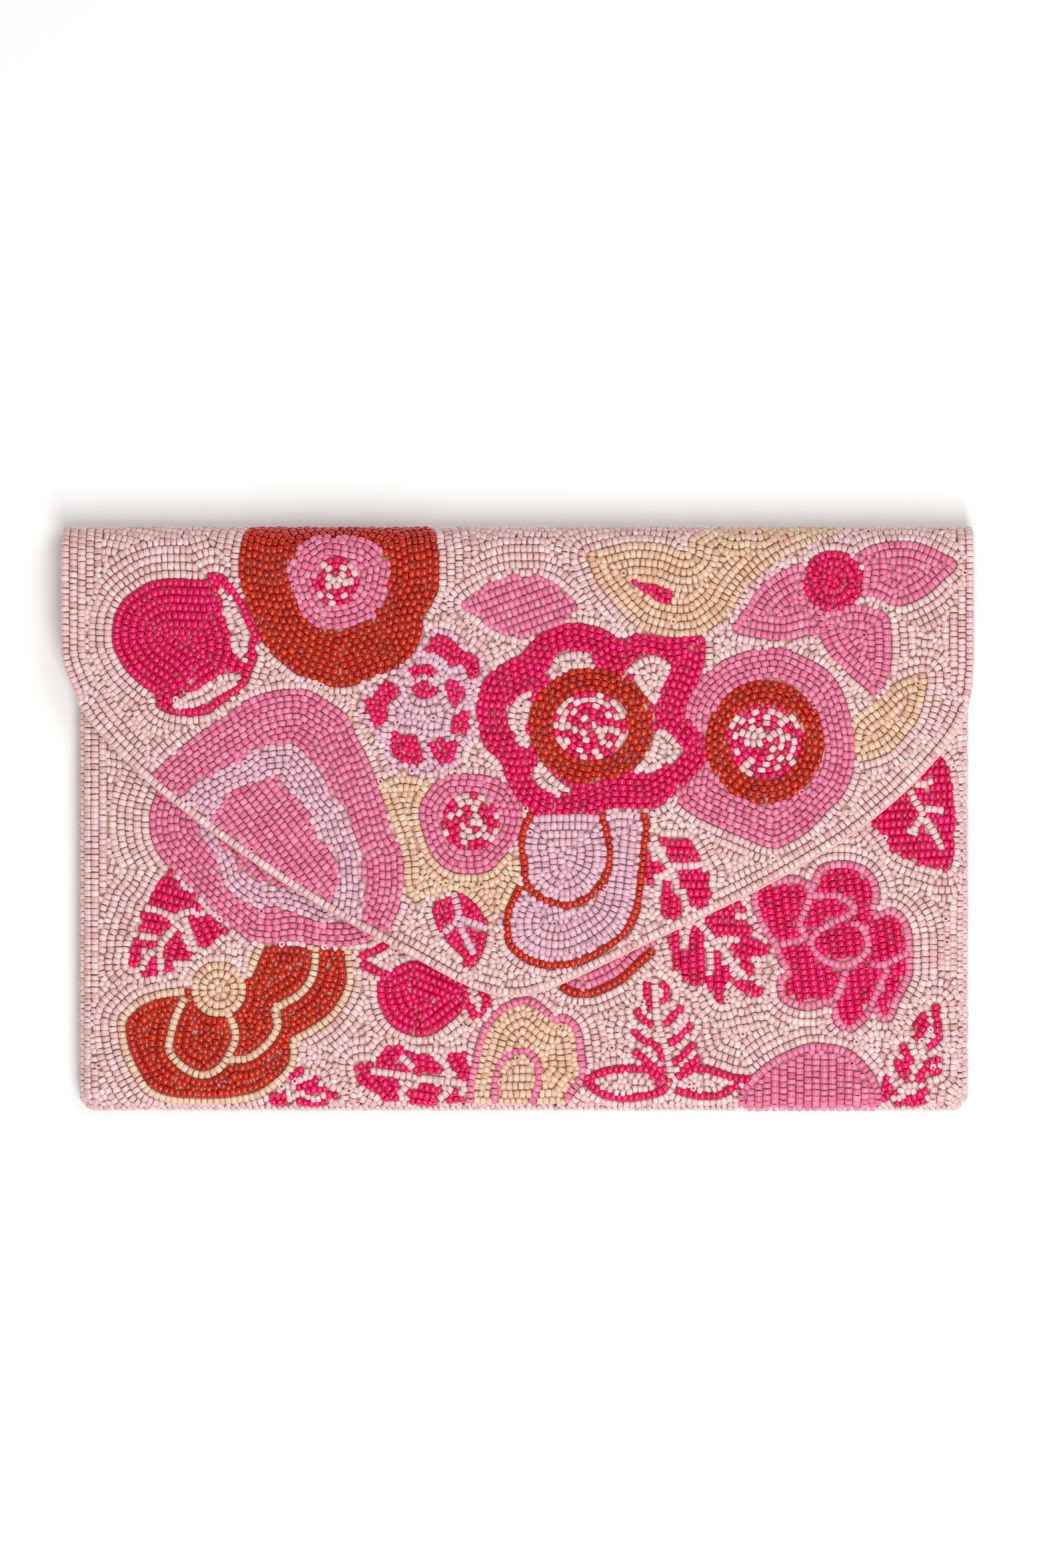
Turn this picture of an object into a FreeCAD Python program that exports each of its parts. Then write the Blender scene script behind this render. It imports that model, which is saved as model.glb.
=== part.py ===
import FreeCAD, Part
import math
import os

# A flat beaded envelope clutch, lying on its back.
# +X runs along the width, +Y points to the fold, +Z points out of the front.
# The origin is under the middle of the purse, on the surface it lies on. Units are mm.

# Outline
FLAP_HALF_WIDTH = 122.5      # the flap and the fold are the widest part
POCKET_LEFT = -118.3         # outer left side of the pocket
POCKET_RIGHT = 121.6         # outer right side of the pocket
POCKET_BOTTOM = -78.8        # outer bottom edge
FOLD_TOP = 78.8              # outermost line of the fold
MOUTH_Y = 64.0               # top edge of the front panel

# Layers, from the outside in
BEADS = 1.9
CANVAS = 0.35
BOARD = 1.0
LINING = 0.25
PANEL = BEADS + CANVAS + BOARD + LINING
POCKET_GAP = 5.2             # free height inside the empty pocket
POCKET_THICKNESS = 2 * PANEL + POCKET_GAP
SEAM_Z = POCKET_THICKNESS / 2
FLAP_GAP = 0.9               # air between the front panel and the closed flap
FLAP_BOTTOM = POCKET_THICKNESS + FLAP_GAP
OVERALL_THICKNESS = FLAP_BOTTOM + PANEL
BOARD_PLAY = 0.2             # the boards stop this far short of the bent rims

# Fold: three strips on four bending lines, 45 degrees each
BEND = math.radians(45)
BACK_LINE_Z = BEADS + CANVAS / 2
FLAP_LINE_Z = OVERALL_THICKNESS - BEADS - CANVAS / 2
STRIP = (FLAP_LINE_Z - BACK_LINE_Z) / (1 + 2 * math.sin(BEND))
FOLD_LINE_Y = FOLD_TOP - BEADS - CANVAS / 2 - STRIP * math.cos(BEND)
FOLD_RELIEF = 0.35           # each strip stops this far from its bending lines

# Flap edge, as points of one smooth curve from its left side to its right side
FLAP_SIDE_LEFT_Y = 46.0
FLAP_SIDE_RIGHT_Y = 42.0
FLAP_EDGE = [
    (-FLAP_HALF_WIDTH, FLAP_SIDE_LEFT_Y),
    (-121.9, 41.5),
    (-119.9, 36.3),
    (-114.8, 26.0),
    (-98.8, 9.5),
    (-75.0, -8.8),
    (-51.5, -24.4),
    (-26.2, -38.2),
    (-12.5, -45.3),
    (-1.0, -47.9),
    (10.5, -45.0),
    (40.4, -30.9),
    (66.7, -18.1),
    (88.0, -5.6),
    (103.0, 6.2),
    (113.5, 17.2),
    (119.4, 25.6),
    (121.8, 33.5),
    (FLAP_HALF_WIDTH, FLAP_SIDE_RIGHT_Y),
]
TURNED_EDGE = 0.35           # cloth turned over the edge of a board
FLAP_BOARD_INSET = 0.5

# Magnetic snap
SNAP_X = -1.0
SNAP_Y = -26.0
SNAP_R = 7.0
SNAP_CLEARING_R = 7.7        # left free of beads
SNAP_BOARD_HOLE_R = 8.0
PLATE = 0.3
WASHER = 0.4
WASHER_HOLE_R = 2.0
PRONG_X = 3.5
PRONG_WIDTH = 2.6
PRONG_THICKNESS = 0.4
PRONG_FOOT = 3.0
SLOT_PLAY = 0.05
CAP_HEIGHT = 1.8             # above the base plate
CAP_WALL = 0.35
CAP_FILLET = 0.5
CAP_HOLE_R = 2.4
MAGNET_BORE_R = 2.7
STUD_R = 2.0
STUD_REACH = 1.75            # below the stud's plate
STUD_PLATE = 0.4
STUD_CHAMFER = 0.3

# Depths of the layers below a beaded face, and the flat part of the pocket inside its round rims
BEADS_IN = BEADS
CANVAS_IN = BEADS + CANVAS
BOARD_IN = BEADS + CANVAS + BOARD
FLAT_LEFT = POCKET_LEFT + SEAM_Z
FLAT_RIGHT = POCKET_RIGHT - SEAM_Z
FLAT_BOTTOM = POCKET_BOTTOM + SEAM_Z
BACK_TOP_Y = FOLD_LINE_Y - FOLD_RELIEF
BOARD_END_GAP = 1.0          # the back board stops this far below the fold

PAST = 1.0                   # cutting shapes reach this far past what they cut
X_AXIS = FreeCAD.Vector(1, 0, 0)


def box(x0, x1, y0, y1, z0, z1):
    return Part.makeBox(x1 - x0, y1 - y0, z1 - z0, FreeCAD.Vector(x0, y0, z0))


def disc(x, y, radius, z0, z1):
    return Part.makeCylinder(radius, z1 - z0, FreeCAD.Vector(x, y, z0))


def export(shape, node):
    solid = shape.removeSplitter()
    if solid.ShapeType == "Compound" and len(solid.Solids) == 1:
        solid = solid.Solids[0]
    solid.exportStep("parts/" + node + ".step")
    print(node, "solids", len(solid.Solids), "valid", solid.isValid(), "volume", round(solid.Volume, 1))


def round_ended_profile(low, high, radius, along_x, both_ends):
    """A face in the XZ or YZ plane: a band of height 2 radius about the seam, with rounded ends."""
    def place(run, z):
        return FreeCAD.Vector(run, 0, z) if along_x else FreeCAD.Vector(0, run, z)

    lower, upper = SEAM_Z - radius, SEAM_Z + radius
    right_end = high - radius if both_ends else high
    edges = [
        Part.LineSegment(place(low + radius, lower), place(right_end, lower)).toShape(),
    ]
    if both_ends:
        arc = Part.Arc(place(right_end, lower), place(high, SEAM_Z), place(right_end, upper))
        edges.append(arc.toShape())
    else:
        edges.append(Part.LineSegment(place(right_end, lower), place(right_end, upper)).toShape())
    edges.append(Part.LineSegment(place(right_end, upper), place(low + radius, upper)).toShape())
    arc = Part.Arc(place(low + radius, upper), place(low, SEAM_Z), place(low + radius, lower))
    edges.append(arc.toShape())
    return Part.Face(Part.Wire(edges))


def pocket(depth):
    """The closed pocket, taken in by depth all round: half-round sides and bottom, flat at the mouth."""
    radius = SEAM_Z - depth
    across = round_ended_profile(POCKET_LEFT + depth, POCKET_RIGHT - depth, radius, True, True)
    across.translate(FreeCAD.Vector(0, POCKET_BOTTOM, 0))
    width_run = across.extrude(FreeCAD.Vector(0, MOUTH_Y - POCKET_BOTTOM, 0))
    along = round_ended_profile(POCKET_BOTTOM + depth, MOUTH_Y, radius, False, False)
    along.translate(FreeCAD.Vector(POCKET_LEFT, 0, 0))
    length_run = along.extrude(FreeCAD.Vector(POCKET_RIGHT - POCKET_LEFT, 0, 0))
    return width_run.common(length_run)


def shell(outer_depth, inner_depth):
    return pocket(outer_depth).cut(pocket(inner_depth))


def half(shape, front):
    low, high = (SEAM_Z, POCKET_THICKNESS) if front else (0, SEAM_Z)
    slab = box(
        POCKET_LEFT - PAST, POCKET_RIGHT + PAST, POCKET_BOTTOM - PAST, MOUTH_Y + PAST, low, high
    )
    return shape.common(slab)


def upper_back(z0, z1):
    """The single-layer stretch of the back panel between the mouth and the fold, as wide as the flap."""
    return box(-FLAP_HALF_WIDTH, FLAP_HALF_WIDTH, MOUTH_Y, BACK_TOP_Y, z0, z1)


def panel_board(z0, z1, top):
    return box(
        FLAT_LEFT + BOARD_PLAY, FLAT_RIGHT - BOARD_PLAY, FLAT_BOTTOM + BOARD_PLAY, top, z0, z1
    )


def make_back_panel():
    canvas = half(shell(BEADS_IN, CANVAS_IN), False).fuse(upper_back(BEADS_IN, CANVAS_IN))
    export(canvas, "back_canvas")
    export(panel_board(CANVAS_IN, BOARD_IN, BACK_TOP_Y - BOARD_END_GAP), "back_board")
    lining = half(shell(BOARD_IN, PANEL), False).fuse(upper_back(BOARD_IN, PANEL))
    export(lining, "back_lining")
    beads = box(FLAT_LEFT, FLAT_RIGHT, FLAT_BOTTOM, MOUTH_Y, 0, BEADS).fuse(upper_back(0, BEADS))
    export(beads, "back_beadwork")


def prong_slots(z0, z1):
    """The two cuts that let a pair of prongs through a layer of cloth."""
    reach = PRONG_THICKNESS / 2 + SLOT_PLAY
    half_width = PRONG_WIDTH / 2 + SLOT_PLAY
    cuts = []
    for side in (-1, 1):
        x = SNAP_X + side * PRONG_X
        cuts.append(box(x - reach, x + reach, SNAP_Y - half_width, SNAP_Y + half_width, z0, z1))
    return cuts[0].fuse(cuts[1])


def make_front_panel():
    top = POCKET_THICKNESS
    canvas = half(shell(BEADS_IN, CANVAS_IN), True)
    hem = box(FLAT_LEFT, FLAT_RIGHT, MOUTH_Y - TURNED_EDGE, MOUTH_Y, top - BOARD_IN, top - CANVAS_IN)
    canvas = canvas.fuse(hem).cut(prong_slots(top - CANVAS_IN - PAST, top))
    export(canvas, "front_canvas")
    board = panel_board(top - BOARD_IN, top - CANVAS_IN, MOUTH_Y - TURNED_EDGE)
    board = board.cut(disc(SNAP_X, SNAP_Y, SNAP_BOARD_HOLE_R, 0, top))
    export(board, "front_board")
    export(half(shell(BOARD_IN, PANEL), True), "front_lining")
    beads = box(FLAT_LEFT, FLAT_RIGHT, FLAT_BOTTOM, MOUTH_Y, top - BEADS, top)
    beads = beads.cut(disc(SNAP_X, SNAP_Y, SNAP_CLEARING_R, 0, top + PAST))
    export(beads, "front_beadwork")


def make_edge_beads():
    """The bands of beads that turn round the sides and the bottom, up to the seam from each panel."""
    ring = shell(0, BEADS)
    low, high = -PAST, POCKET_THICKNESS + PAST
    left, right = POCKET_LEFT - PAST, POCKET_RIGHT + PAST
    zones = {
        "left": box(left, FLAT_LEFT, FLAT_BOTTOM, MOUTH_Y + PAST, low, high),
        "right": box(FLAT_RIGHT, right, FLAT_BOTTOM, MOUTH_Y + PAST, low, high),
        "bottom": box(left, right, POCKET_BOTTOM - PAST, FLAT_BOTTOM, low, high),
    }
    for side, zone in zones.items():
        for panel, front in (("front", True), ("back", False)):
            export(half(ring.common(zone), front), panel + "_" + side + "_edge_beads")


def make_fold():
    """Three strips stand on the bending lines like the facets of a roll, each 45 degrees on from the last."""
    layers = [
        ("beadwork", -CANVAS / 2 - BEADS, -CANVAS / 2),
        ("canvas", -CANVAS / 2, CANVAS / 2),
        ("lining", CANVAS / 2, CANVAS / 2 + LINING),
    ]
    y, z = FOLD_LINE_Y, BACK_LINE_Z
    for number, name in enumerate(("fold_back", "fold_top", "fold_front"), start=1):
        for layer, low, high in layers:
            strip = box(
                -FLAP_HALF_WIDTH, FLAP_HALF_WIDTH, FOLD_RELIEF, STRIP - FOLD_RELIEF, low, high
            )
            strip.rotate(FreeCAD.Vector(0, 0, 0), X_AXIS, 45 * number)
            strip.translate(FreeCAD.Vector(0, y, z))
            export(strip, name + "_" + layer)
        print(name, "bending line y", round(y, 3), "z", round(z, 3))
        y += STRIP * math.cos(BEND * number)
        z += STRIP * math.sin(BEND * number)
    print("flap bending line y", round(y, 3), "z", round(z, 3))


def inset_flap_edge(inset):
    """The points of the flap's edge, each moved inwards at right angles to the edge."""
    moved = []
    last = len(FLAP_EDGE) - 1
    for index, (x, y) in enumerate(FLAP_EDGE):
        before = FLAP_EDGE[max(index - 1, 0)]
        after = FLAP_EDGE[min(index + 1, last)]
        run, rise = after[0] - before[0], after[1] - before[1]
        if index in (0, last):
            run, rise = 0, 1 if index else -1
        length = math.hypot(run, rise)
        moved.append(FreeCAD.Vector(x - inset * rise / length, y + inset * run / length, 0))
    return moved


def flap_outline(inset):
    """The flap's face at z = 0, taken in by inset along every side."""
    points = inset_flap_edge(inset)
    curve = Part.BSplineCurve()
    curve.interpolate(points)
    top_left = FreeCAD.Vector(inset - FLAP_HALF_WIDTH, BACK_TOP_Y - inset, 0)
    top_right = FreeCAD.Vector(FLAP_HALF_WIDTH - inset, BACK_TOP_Y - inset, 0)
    edges = [
        Part.LineSegment(top_left, points[0]).toShape(),
        curve.toShape(),
        Part.LineSegment(points[-1], top_right).toShape(),
        Part.LineSegment(top_right, top_left).toShape(),
    ]
    return Part.Face(Part.Wire(edges))


def flap_layer(inset, z0, z1):
    face = flap_outline(inset)
    face.translate(FreeCAD.Vector(0, 0, z0))
    return face.extrude(FreeCAD.Vector(0, 0, z1 - z0))


def make_flap():
    lining_top = FLAP_BOTTOM + LINING
    canvas_bottom = lining_top + BOARD
    canvas_top = canvas_bottom + CANVAS
    lining = flap_layer(0, FLAP_BOTTOM, lining_top)
    lining = lining.cut(prong_slots(FLAP_BOTTOM - PAST, lining_top + PAST))
    export(lining, "flap_lining")
    board = flap_layer(FLAP_BOARD_INSET, lining_top, canvas_bottom)
    board = board.cut(
        disc(SNAP_X, SNAP_Y, SNAP_BOARD_HOLE_R, lining_top - PAST, canvas_bottom + PAST)
    )
    export(board, "flap_board")
    turned = flap_layer(0, lining_top, canvas_bottom)
    turned = turned.cut(flap_layer(TURNED_EDGE, lining_top - PAST, canvas_bottom + PAST))
    export(flap_layer(0, canvas_bottom, canvas_top).fuse(turned), "flap_canvas")
    export(flap_layer(0, canvas_top, OVERALL_THICKNESS), "flap_beadwork")


def prongs(root_z, tip_z):
    """Two flat legs from root_z to tip_z, bent outwards at the tip."""
    legs = []
    turn = 1 if tip_z > root_z else -1
    foot_z = sorted((tip_z, tip_z - turn * PRONG_THICKNESS))
    for side in (-1, 1):
        inner = PRONG_X - PRONG_THICKNESS / 2
        outer = PRONG_X + PRONG_THICKNESS / 2
        leg_x = sorted((SNAP_X + side * inner, SNAP_X + side * outer))
        foot_x = sorted((SNAP_X + side * inner, SNAP_X + side * (outer + PRONG_FOOT)))
        y0, y1 = SNAP_Y - PRONG_WIDTH / 2, SNAP_Y + PRONG_WIDTH / 2
        leg = box(leg_x[0], leg_x[1], y0, y1, min(root_z, tip_z), max(root_z, tip_z))
        foot = box(foot_x[0], foot_x[1], y0, y1, foot_z[0], foot_z[1])
        legs.append(leg.fuse(foot))
    return legs[0].fuse(legs[1])


def washer(z0):
    ring = disc(SNAP_X, SNAP_Y, SNAP_R, z0, z0 + WASHER)
    ring = ring.cut(disc(SNAP_X, SNAP_Y, WASHER_HOLE_R, z0 - PAST, z0 + PAST))
    return ring.cut(prong_slots(z0 - PAST, z0 + PAST))


def make_snap_socket():
    """The half on the front panel: a ring magnet in a cap with a hole, on a plate whose prongs
    pass through the canvas and are bent over a washer in the board's hole."""
    cloth_top = POCKET_THICKNESS - BEADS
    cloth_bottom = cloth_top - CANVAS
    washer_bottom = cloth_bottom - WASHER
    plate = disc(SNAP_X, SNAP_Y, SNAP_R, cloth_top, cloth_top + PLATE)
    plate = plate.fuse(prongs(cloth_top + PLATE / 2, washer_bottom - PRONG_THICKNESS))
    export(plate, "snap_socket_plate")
    export(washer(washer_bottom), "snap_socket_washer")
    base = cloth_top + PLATE
    cap_top = base + CAP_HEIGHT
    cap = disc(SNAP_X, SNAP_Y, SNAP_R, base, cap_top)
    cap = cap.makeFillet(CAP_FILLET, [e for e in cap.Edges if e.BoundBox.ZMin > cap_top - 0.01])
    cap = cap.cut(disc(SNAP_X, SNAP_Y, SNAP_R - CAP_WALL, base - PAST, cap_top - CAP_WALL))
    cap = cap.cut(disc(SNAP_X, SNAP_Y, CAP_HOLE_R, base, cap_top + PAST))
    export(cap, "snap_socket_cap")
    magnet = disc(SNAP_X, SNAP_Y, SNAP_R - CAP_WALL, base, cap_top - CAP_WALL)
    magnet = magnet.cut(disc(SNAP_X, SNAP_Y, MAGNET_BORE_R, base - PAST, cap_top))
    export(magnet, "snap_ring_magnet")


def make_snap_stud():
    """The half on the flap: a plate with a stud that drops into the socket, pronged through the lining."""
    plate_bottom = FLAP_BOTTOM - STUD_PLATE
    plate = disc(SNAP_X, SNAP_Y, SNAP_R, plate_bottom, FLAP_BOTTOM)
    washer_bottom = FLAP_BOTTOM + LINING
    tip = washer_bottom + WASHER + PRONG_THICKNESS
    plate = plate.fuse(prongs(FLAP_BOTTOM - STUD_PLATE / 2, tip))
    stud_tip = plate_bottom - STUD_REACH
    stud = disc(SNAP_X, SNAP_Y, STUD_R, stud_tip, plate_bottom)
    stud = stud.makeChamfer(STUD_CHAMFER, [e for e in stud.Edges if e.BoundBox.ZMax < stud_tip + 0.01])
    export(plate, "snap_stud_plate")
    export(stud, "snap_stud")
    export(washer(washer_bottom), "snap_stud_washer")


os.makedirs("parts", exist_ok=True)
make_back_panel()
make_front_panel()
make_edge_beads()
make_fold()
make_flap()
make_snap_socket()
make_snap_stud()
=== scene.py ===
import bmesh
import bpy
import math
import numpy as np
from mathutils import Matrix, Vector


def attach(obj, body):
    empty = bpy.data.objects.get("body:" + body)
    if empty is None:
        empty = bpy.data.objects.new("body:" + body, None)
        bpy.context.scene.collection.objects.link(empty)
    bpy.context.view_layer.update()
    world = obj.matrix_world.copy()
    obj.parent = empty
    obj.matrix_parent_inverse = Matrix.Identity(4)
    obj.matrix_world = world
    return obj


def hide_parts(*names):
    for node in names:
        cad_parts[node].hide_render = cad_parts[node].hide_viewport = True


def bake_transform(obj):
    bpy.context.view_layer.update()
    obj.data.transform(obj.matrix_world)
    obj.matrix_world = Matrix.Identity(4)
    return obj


# A flat beaded envelope clutch. Lengths are in millimetres until a mesh is made.

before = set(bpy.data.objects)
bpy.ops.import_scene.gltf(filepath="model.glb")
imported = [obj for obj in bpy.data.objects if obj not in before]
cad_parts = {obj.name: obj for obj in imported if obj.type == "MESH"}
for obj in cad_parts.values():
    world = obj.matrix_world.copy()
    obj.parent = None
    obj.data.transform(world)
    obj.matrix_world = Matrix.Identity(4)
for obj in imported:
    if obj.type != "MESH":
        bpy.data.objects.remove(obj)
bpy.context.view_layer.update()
RNG = np.random.default_rng(11)
MM = 0.001

# Layers and shapes, as in the CAD
BEAD_HEIGHT = 1.9
CANVAS_DEPTH = 2.075         # from the outside of the beads to the middle of the canvas
LINING_DEPTH = 3.375         # and to the middle of the lining
FLAP_HALF_WIDTH = 122.5
FLAT_LEFT, FLAT_RIGHT, FLAT_BOTTOM, MOUTH_Y = -112.2, 115.5, -72.7, 64.0
SEAM_Z = 6.1                 # also the radius of the half-round sides
FOLD_Y, FOLD_Z = 70.5, 8.3   # axis of the rolled fold
FOLD_REACH = 8.3             # from that axis to the outermost beads
FOLD_SEEN_TO = 78.7          # outline points above this are left as they are
FOLD_CLOTH_R = 6.4
BOARD_TOP_Y = 71.8           # where the boards of the back and the flap end at the fold
SNAP_X, SNAP_Y, SNAP_CLEARING_R = -1.0, -26.0, 7.7
FLAP_EDGE = [
    (-122.5, 46.0), (-121.9, 41.5), (-119.9, 36.3), (-114.8, 26.0), (-98.8, 9.5), (-75.0, -8.8),
    (-51.5, -24.4), (-26.2, -38.2), (-12.5, -45.3), (-1.0, -47.9), (10.5, -45.0), (40.4, -30.9),
    (66.7, -18.1), (88.0, -5.6), (103.0, 6.2), (113.5, 17.2), (119.4, 25.6), (121.8, 33.5),
    (122.5, 42.0),
]

# The fold unrolls in four zones. Each has a name, the CAD strip that it stands for, and the two bodies
# that it joins, and bends from one of these lines (y, z) to the next.
FOLD_LINES = [(70.5, 2.075), (74.90, 3.90), (76.725, 8.30), (74.90, 12.70), (70.5, 14.525)]
FOLD_ZONES = [
    ("fold_root", "fold_back", ("body", "fold_back")),
    ("fold_lower", None, ("fold_back", "fold_top")),
    ("fold_upper", "fold_top", ("fold_top", "fold_front")),
    ("fold_front", "fold_front", ("fold_front", "flap")),
]

# Cloth, in metres: what the canvas and the lining of each pocket panel were cut to
CANVAS_THICKNESS = 0.3
LINING_THICKNESS = 0.22
FOLD_THICKNESS = 0.6         # canvas and lining together
EDGE_THICKNESS = 0.26

# Beads
ROW = 2.2                    # from one string of beads to the next
STEP = 1.62                  # from one bead to the next along its string
BEAD_R = 1.14                # half its width across the string
BEAD_RISE = 0.93             # half its height
BEAD_HALF = 0.79             # half its length along the string
RIM_BEAD_SIZE = 0.82         # of the strings round the bottom rim
SMALL_BEAD_SIZE = 0.9        # of the beads that fill gaps
TURN_SPREAD, TILT_SPREAD = 0.07, 0.09    # how unevenly beads lie, in radians
SIZE_SPREAD, LENGTH_SPREAD = 0.03, 0.08  # and how much they differ
BEAD_ROLL_R = 5.15           # bead centres round the pocket's sides
FOLD_ROLL_R = 7.35           # bead centres round the fold
FOLD_END = FOLD_Y + math.pi * FOLD_ROLL_R
FOLD_ZONE = math.pi / 4 * FOLD_ROLL_R
FLAP_TOP_S = FOLD_END + FOLD_Y - MOUTH_Y
SIDE_END = math.pi / 2 * BEAD_ROLL_R
RIM_ROW = 6.3                # from the flat of the panel round to the last string at the bottom
MAX_BEADS = 2000             # in one piece

# Laying them out
CELL = 0.35                  # grid that the rows are laid out on
BUCKET = 2.4                 # coarser grid, for finding a bead's neighbours
NEXT_ALONG = 1.5             # half widths of the ellipse that the next bead's centre stays out of
NEXT_ACROSS = 2.0
CLOSEST = 1.2                # and no two centres are nearer than this
TANGENT_REACH = 0.6          # how far each way the direction of a string is measured
FILL_REACH = 1.38            # a gap is filled where no bead's centre is this near
RIM_MARGIN = 0.7             # but not this near the edge of the cloth
PLAIN_REACH = 11.0           # strings follow a motif's shape this far from it
PLAIN = 999                  # the number of the plain part of a pattern
LIES, STANDS, SMALL = range(3)

CAMERA_X, CAMERA_Y, CAMERA_Z = 1.34, 9.37, 1600
FRAME_HEIGHT = 419.8         # what the camera sees at the purse, top to bottom
TOP_Z = 16.6

# Beads by colour: dark, middle and light shade as seen, and roughness
BEAD_LOOKS = {
    "blush": ((210, 161, 158), (229, 191, 190), (241, 214, 213), 0.2),
    "hot_pink": ((192, 0, 63), (222, 0, 89), (238, 12, 110), 0.16),
    "rust": ((164, 20, 4), (191, 34, 9), (210, 53, 18), 0.16),
    "mid_pink": ((210, 95, 134), (227, 122, 156), (238, 149, 179), 0.18),
    "lilac": ((202, 149, 172), (223, 177, 193), (235, 196, 208), 0.2),
    "cream": ((212, 164, 132), (227, 189, 161), (238, 208, 186), 0.2),
    "ivory": ((213, 172, 170), (229, 192, 190), (240, 210, 208), 0.2),
}
COLOURS = list(BEAD_LOOKS)
BLUSH, HOT, RUST, MID, LILAC, CREAM, IVORY = range(7)

# Outlines that a motif and its rim share
OUTER_PETAL = [(0.6, -18.5), (-2.1, -24.3), (-2.8, -27.7), (-1.5, -33.9), (4.3, -38.1), (12.7, -39.1),
    (21, -36), (28.5, -30.6), (31.8, -23.9), (33.1, -15.6), (33.9, -7.7), (34.5, -2.3), (33.7, 1.4)]
INNER_PETAL = [(3.5, 1), (2.3, -1.5), (1, -7.3), (2, -11.8), (2.3, -17.7), (4.3, -19.3), (6.8, -21.4),
    (12.7, -23.1), (18.9, -21), (23.5, -15.6), (24.8, -8.5), (23.9, -4), (22.7, 1)]
RUST_RIM = [(-90, -46.3), (-96.5, -47.3), (-101.9, -49.4), (-105.9, -53.3), (-106.5, -55.4),
    (-105.5, -61.7), (-102.8, -67.9), (-99.4, -72.9), (-94, -75.8), (-86.5, -76.5), (-78.2, -76.3),
    (-70.3, -74.6), (-65.3, -71.3), (-61.1, -67.1), (-60, -62.1), (-60.3, -59.6), (-55.7, -57.1),
    (-50.3, -53.3), (-46.9, -48.8), (-45, -43.8), (-45.3, -38.1), (-45.7, -35.2)]
ARCH = [(-12.1, -69.2), (-10.5, -62.5), (-8.2, -55.4), (-4.4, -51.3), (1.4, -48.8), (4.3, -49.4),
    (8.5, -52.9), (10.2, -54), (12.7, -53.5), (15.8, -56.7), (17, -63.3), (17.3, -69.2), (14.3, -73.3)]
MOUND = [(60.2, -74.2), (64.3, -69.2), (69.8, -65), (76.8, -61.9), (81, -61.3), (88.5, -62.9),
    (93.9, -67.9), (96.8, -73.3)]
MANY_PETALS = [(63.9, -18.9), (63.9, -22.7), (65.8, -28.5), (68.9, -33.1), (71.4, -38.5), (72.7, -41.4),
    (70.8, -43.9), (71.8, -48.3), (78.1, -50.4), (84.3, -48.8), (86, -54.2), (89.3, -56.3), (93.5, -52.9),
    (96, -50.8), (97.7, -53.3), (99.8, -53.3), (101.8, -48.3), (104.8, -42.5), (105.2, -38.5),
    (104.5, -29.3), (100.6, -24.8), (95.6, -26), (96.2, -19.3), (93.5, -14.3), (87.7, -12.3),
    (81.8, -13.5), (79.3, -18.1), (74.3, -16.2), (68.5, -17.3)]

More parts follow.
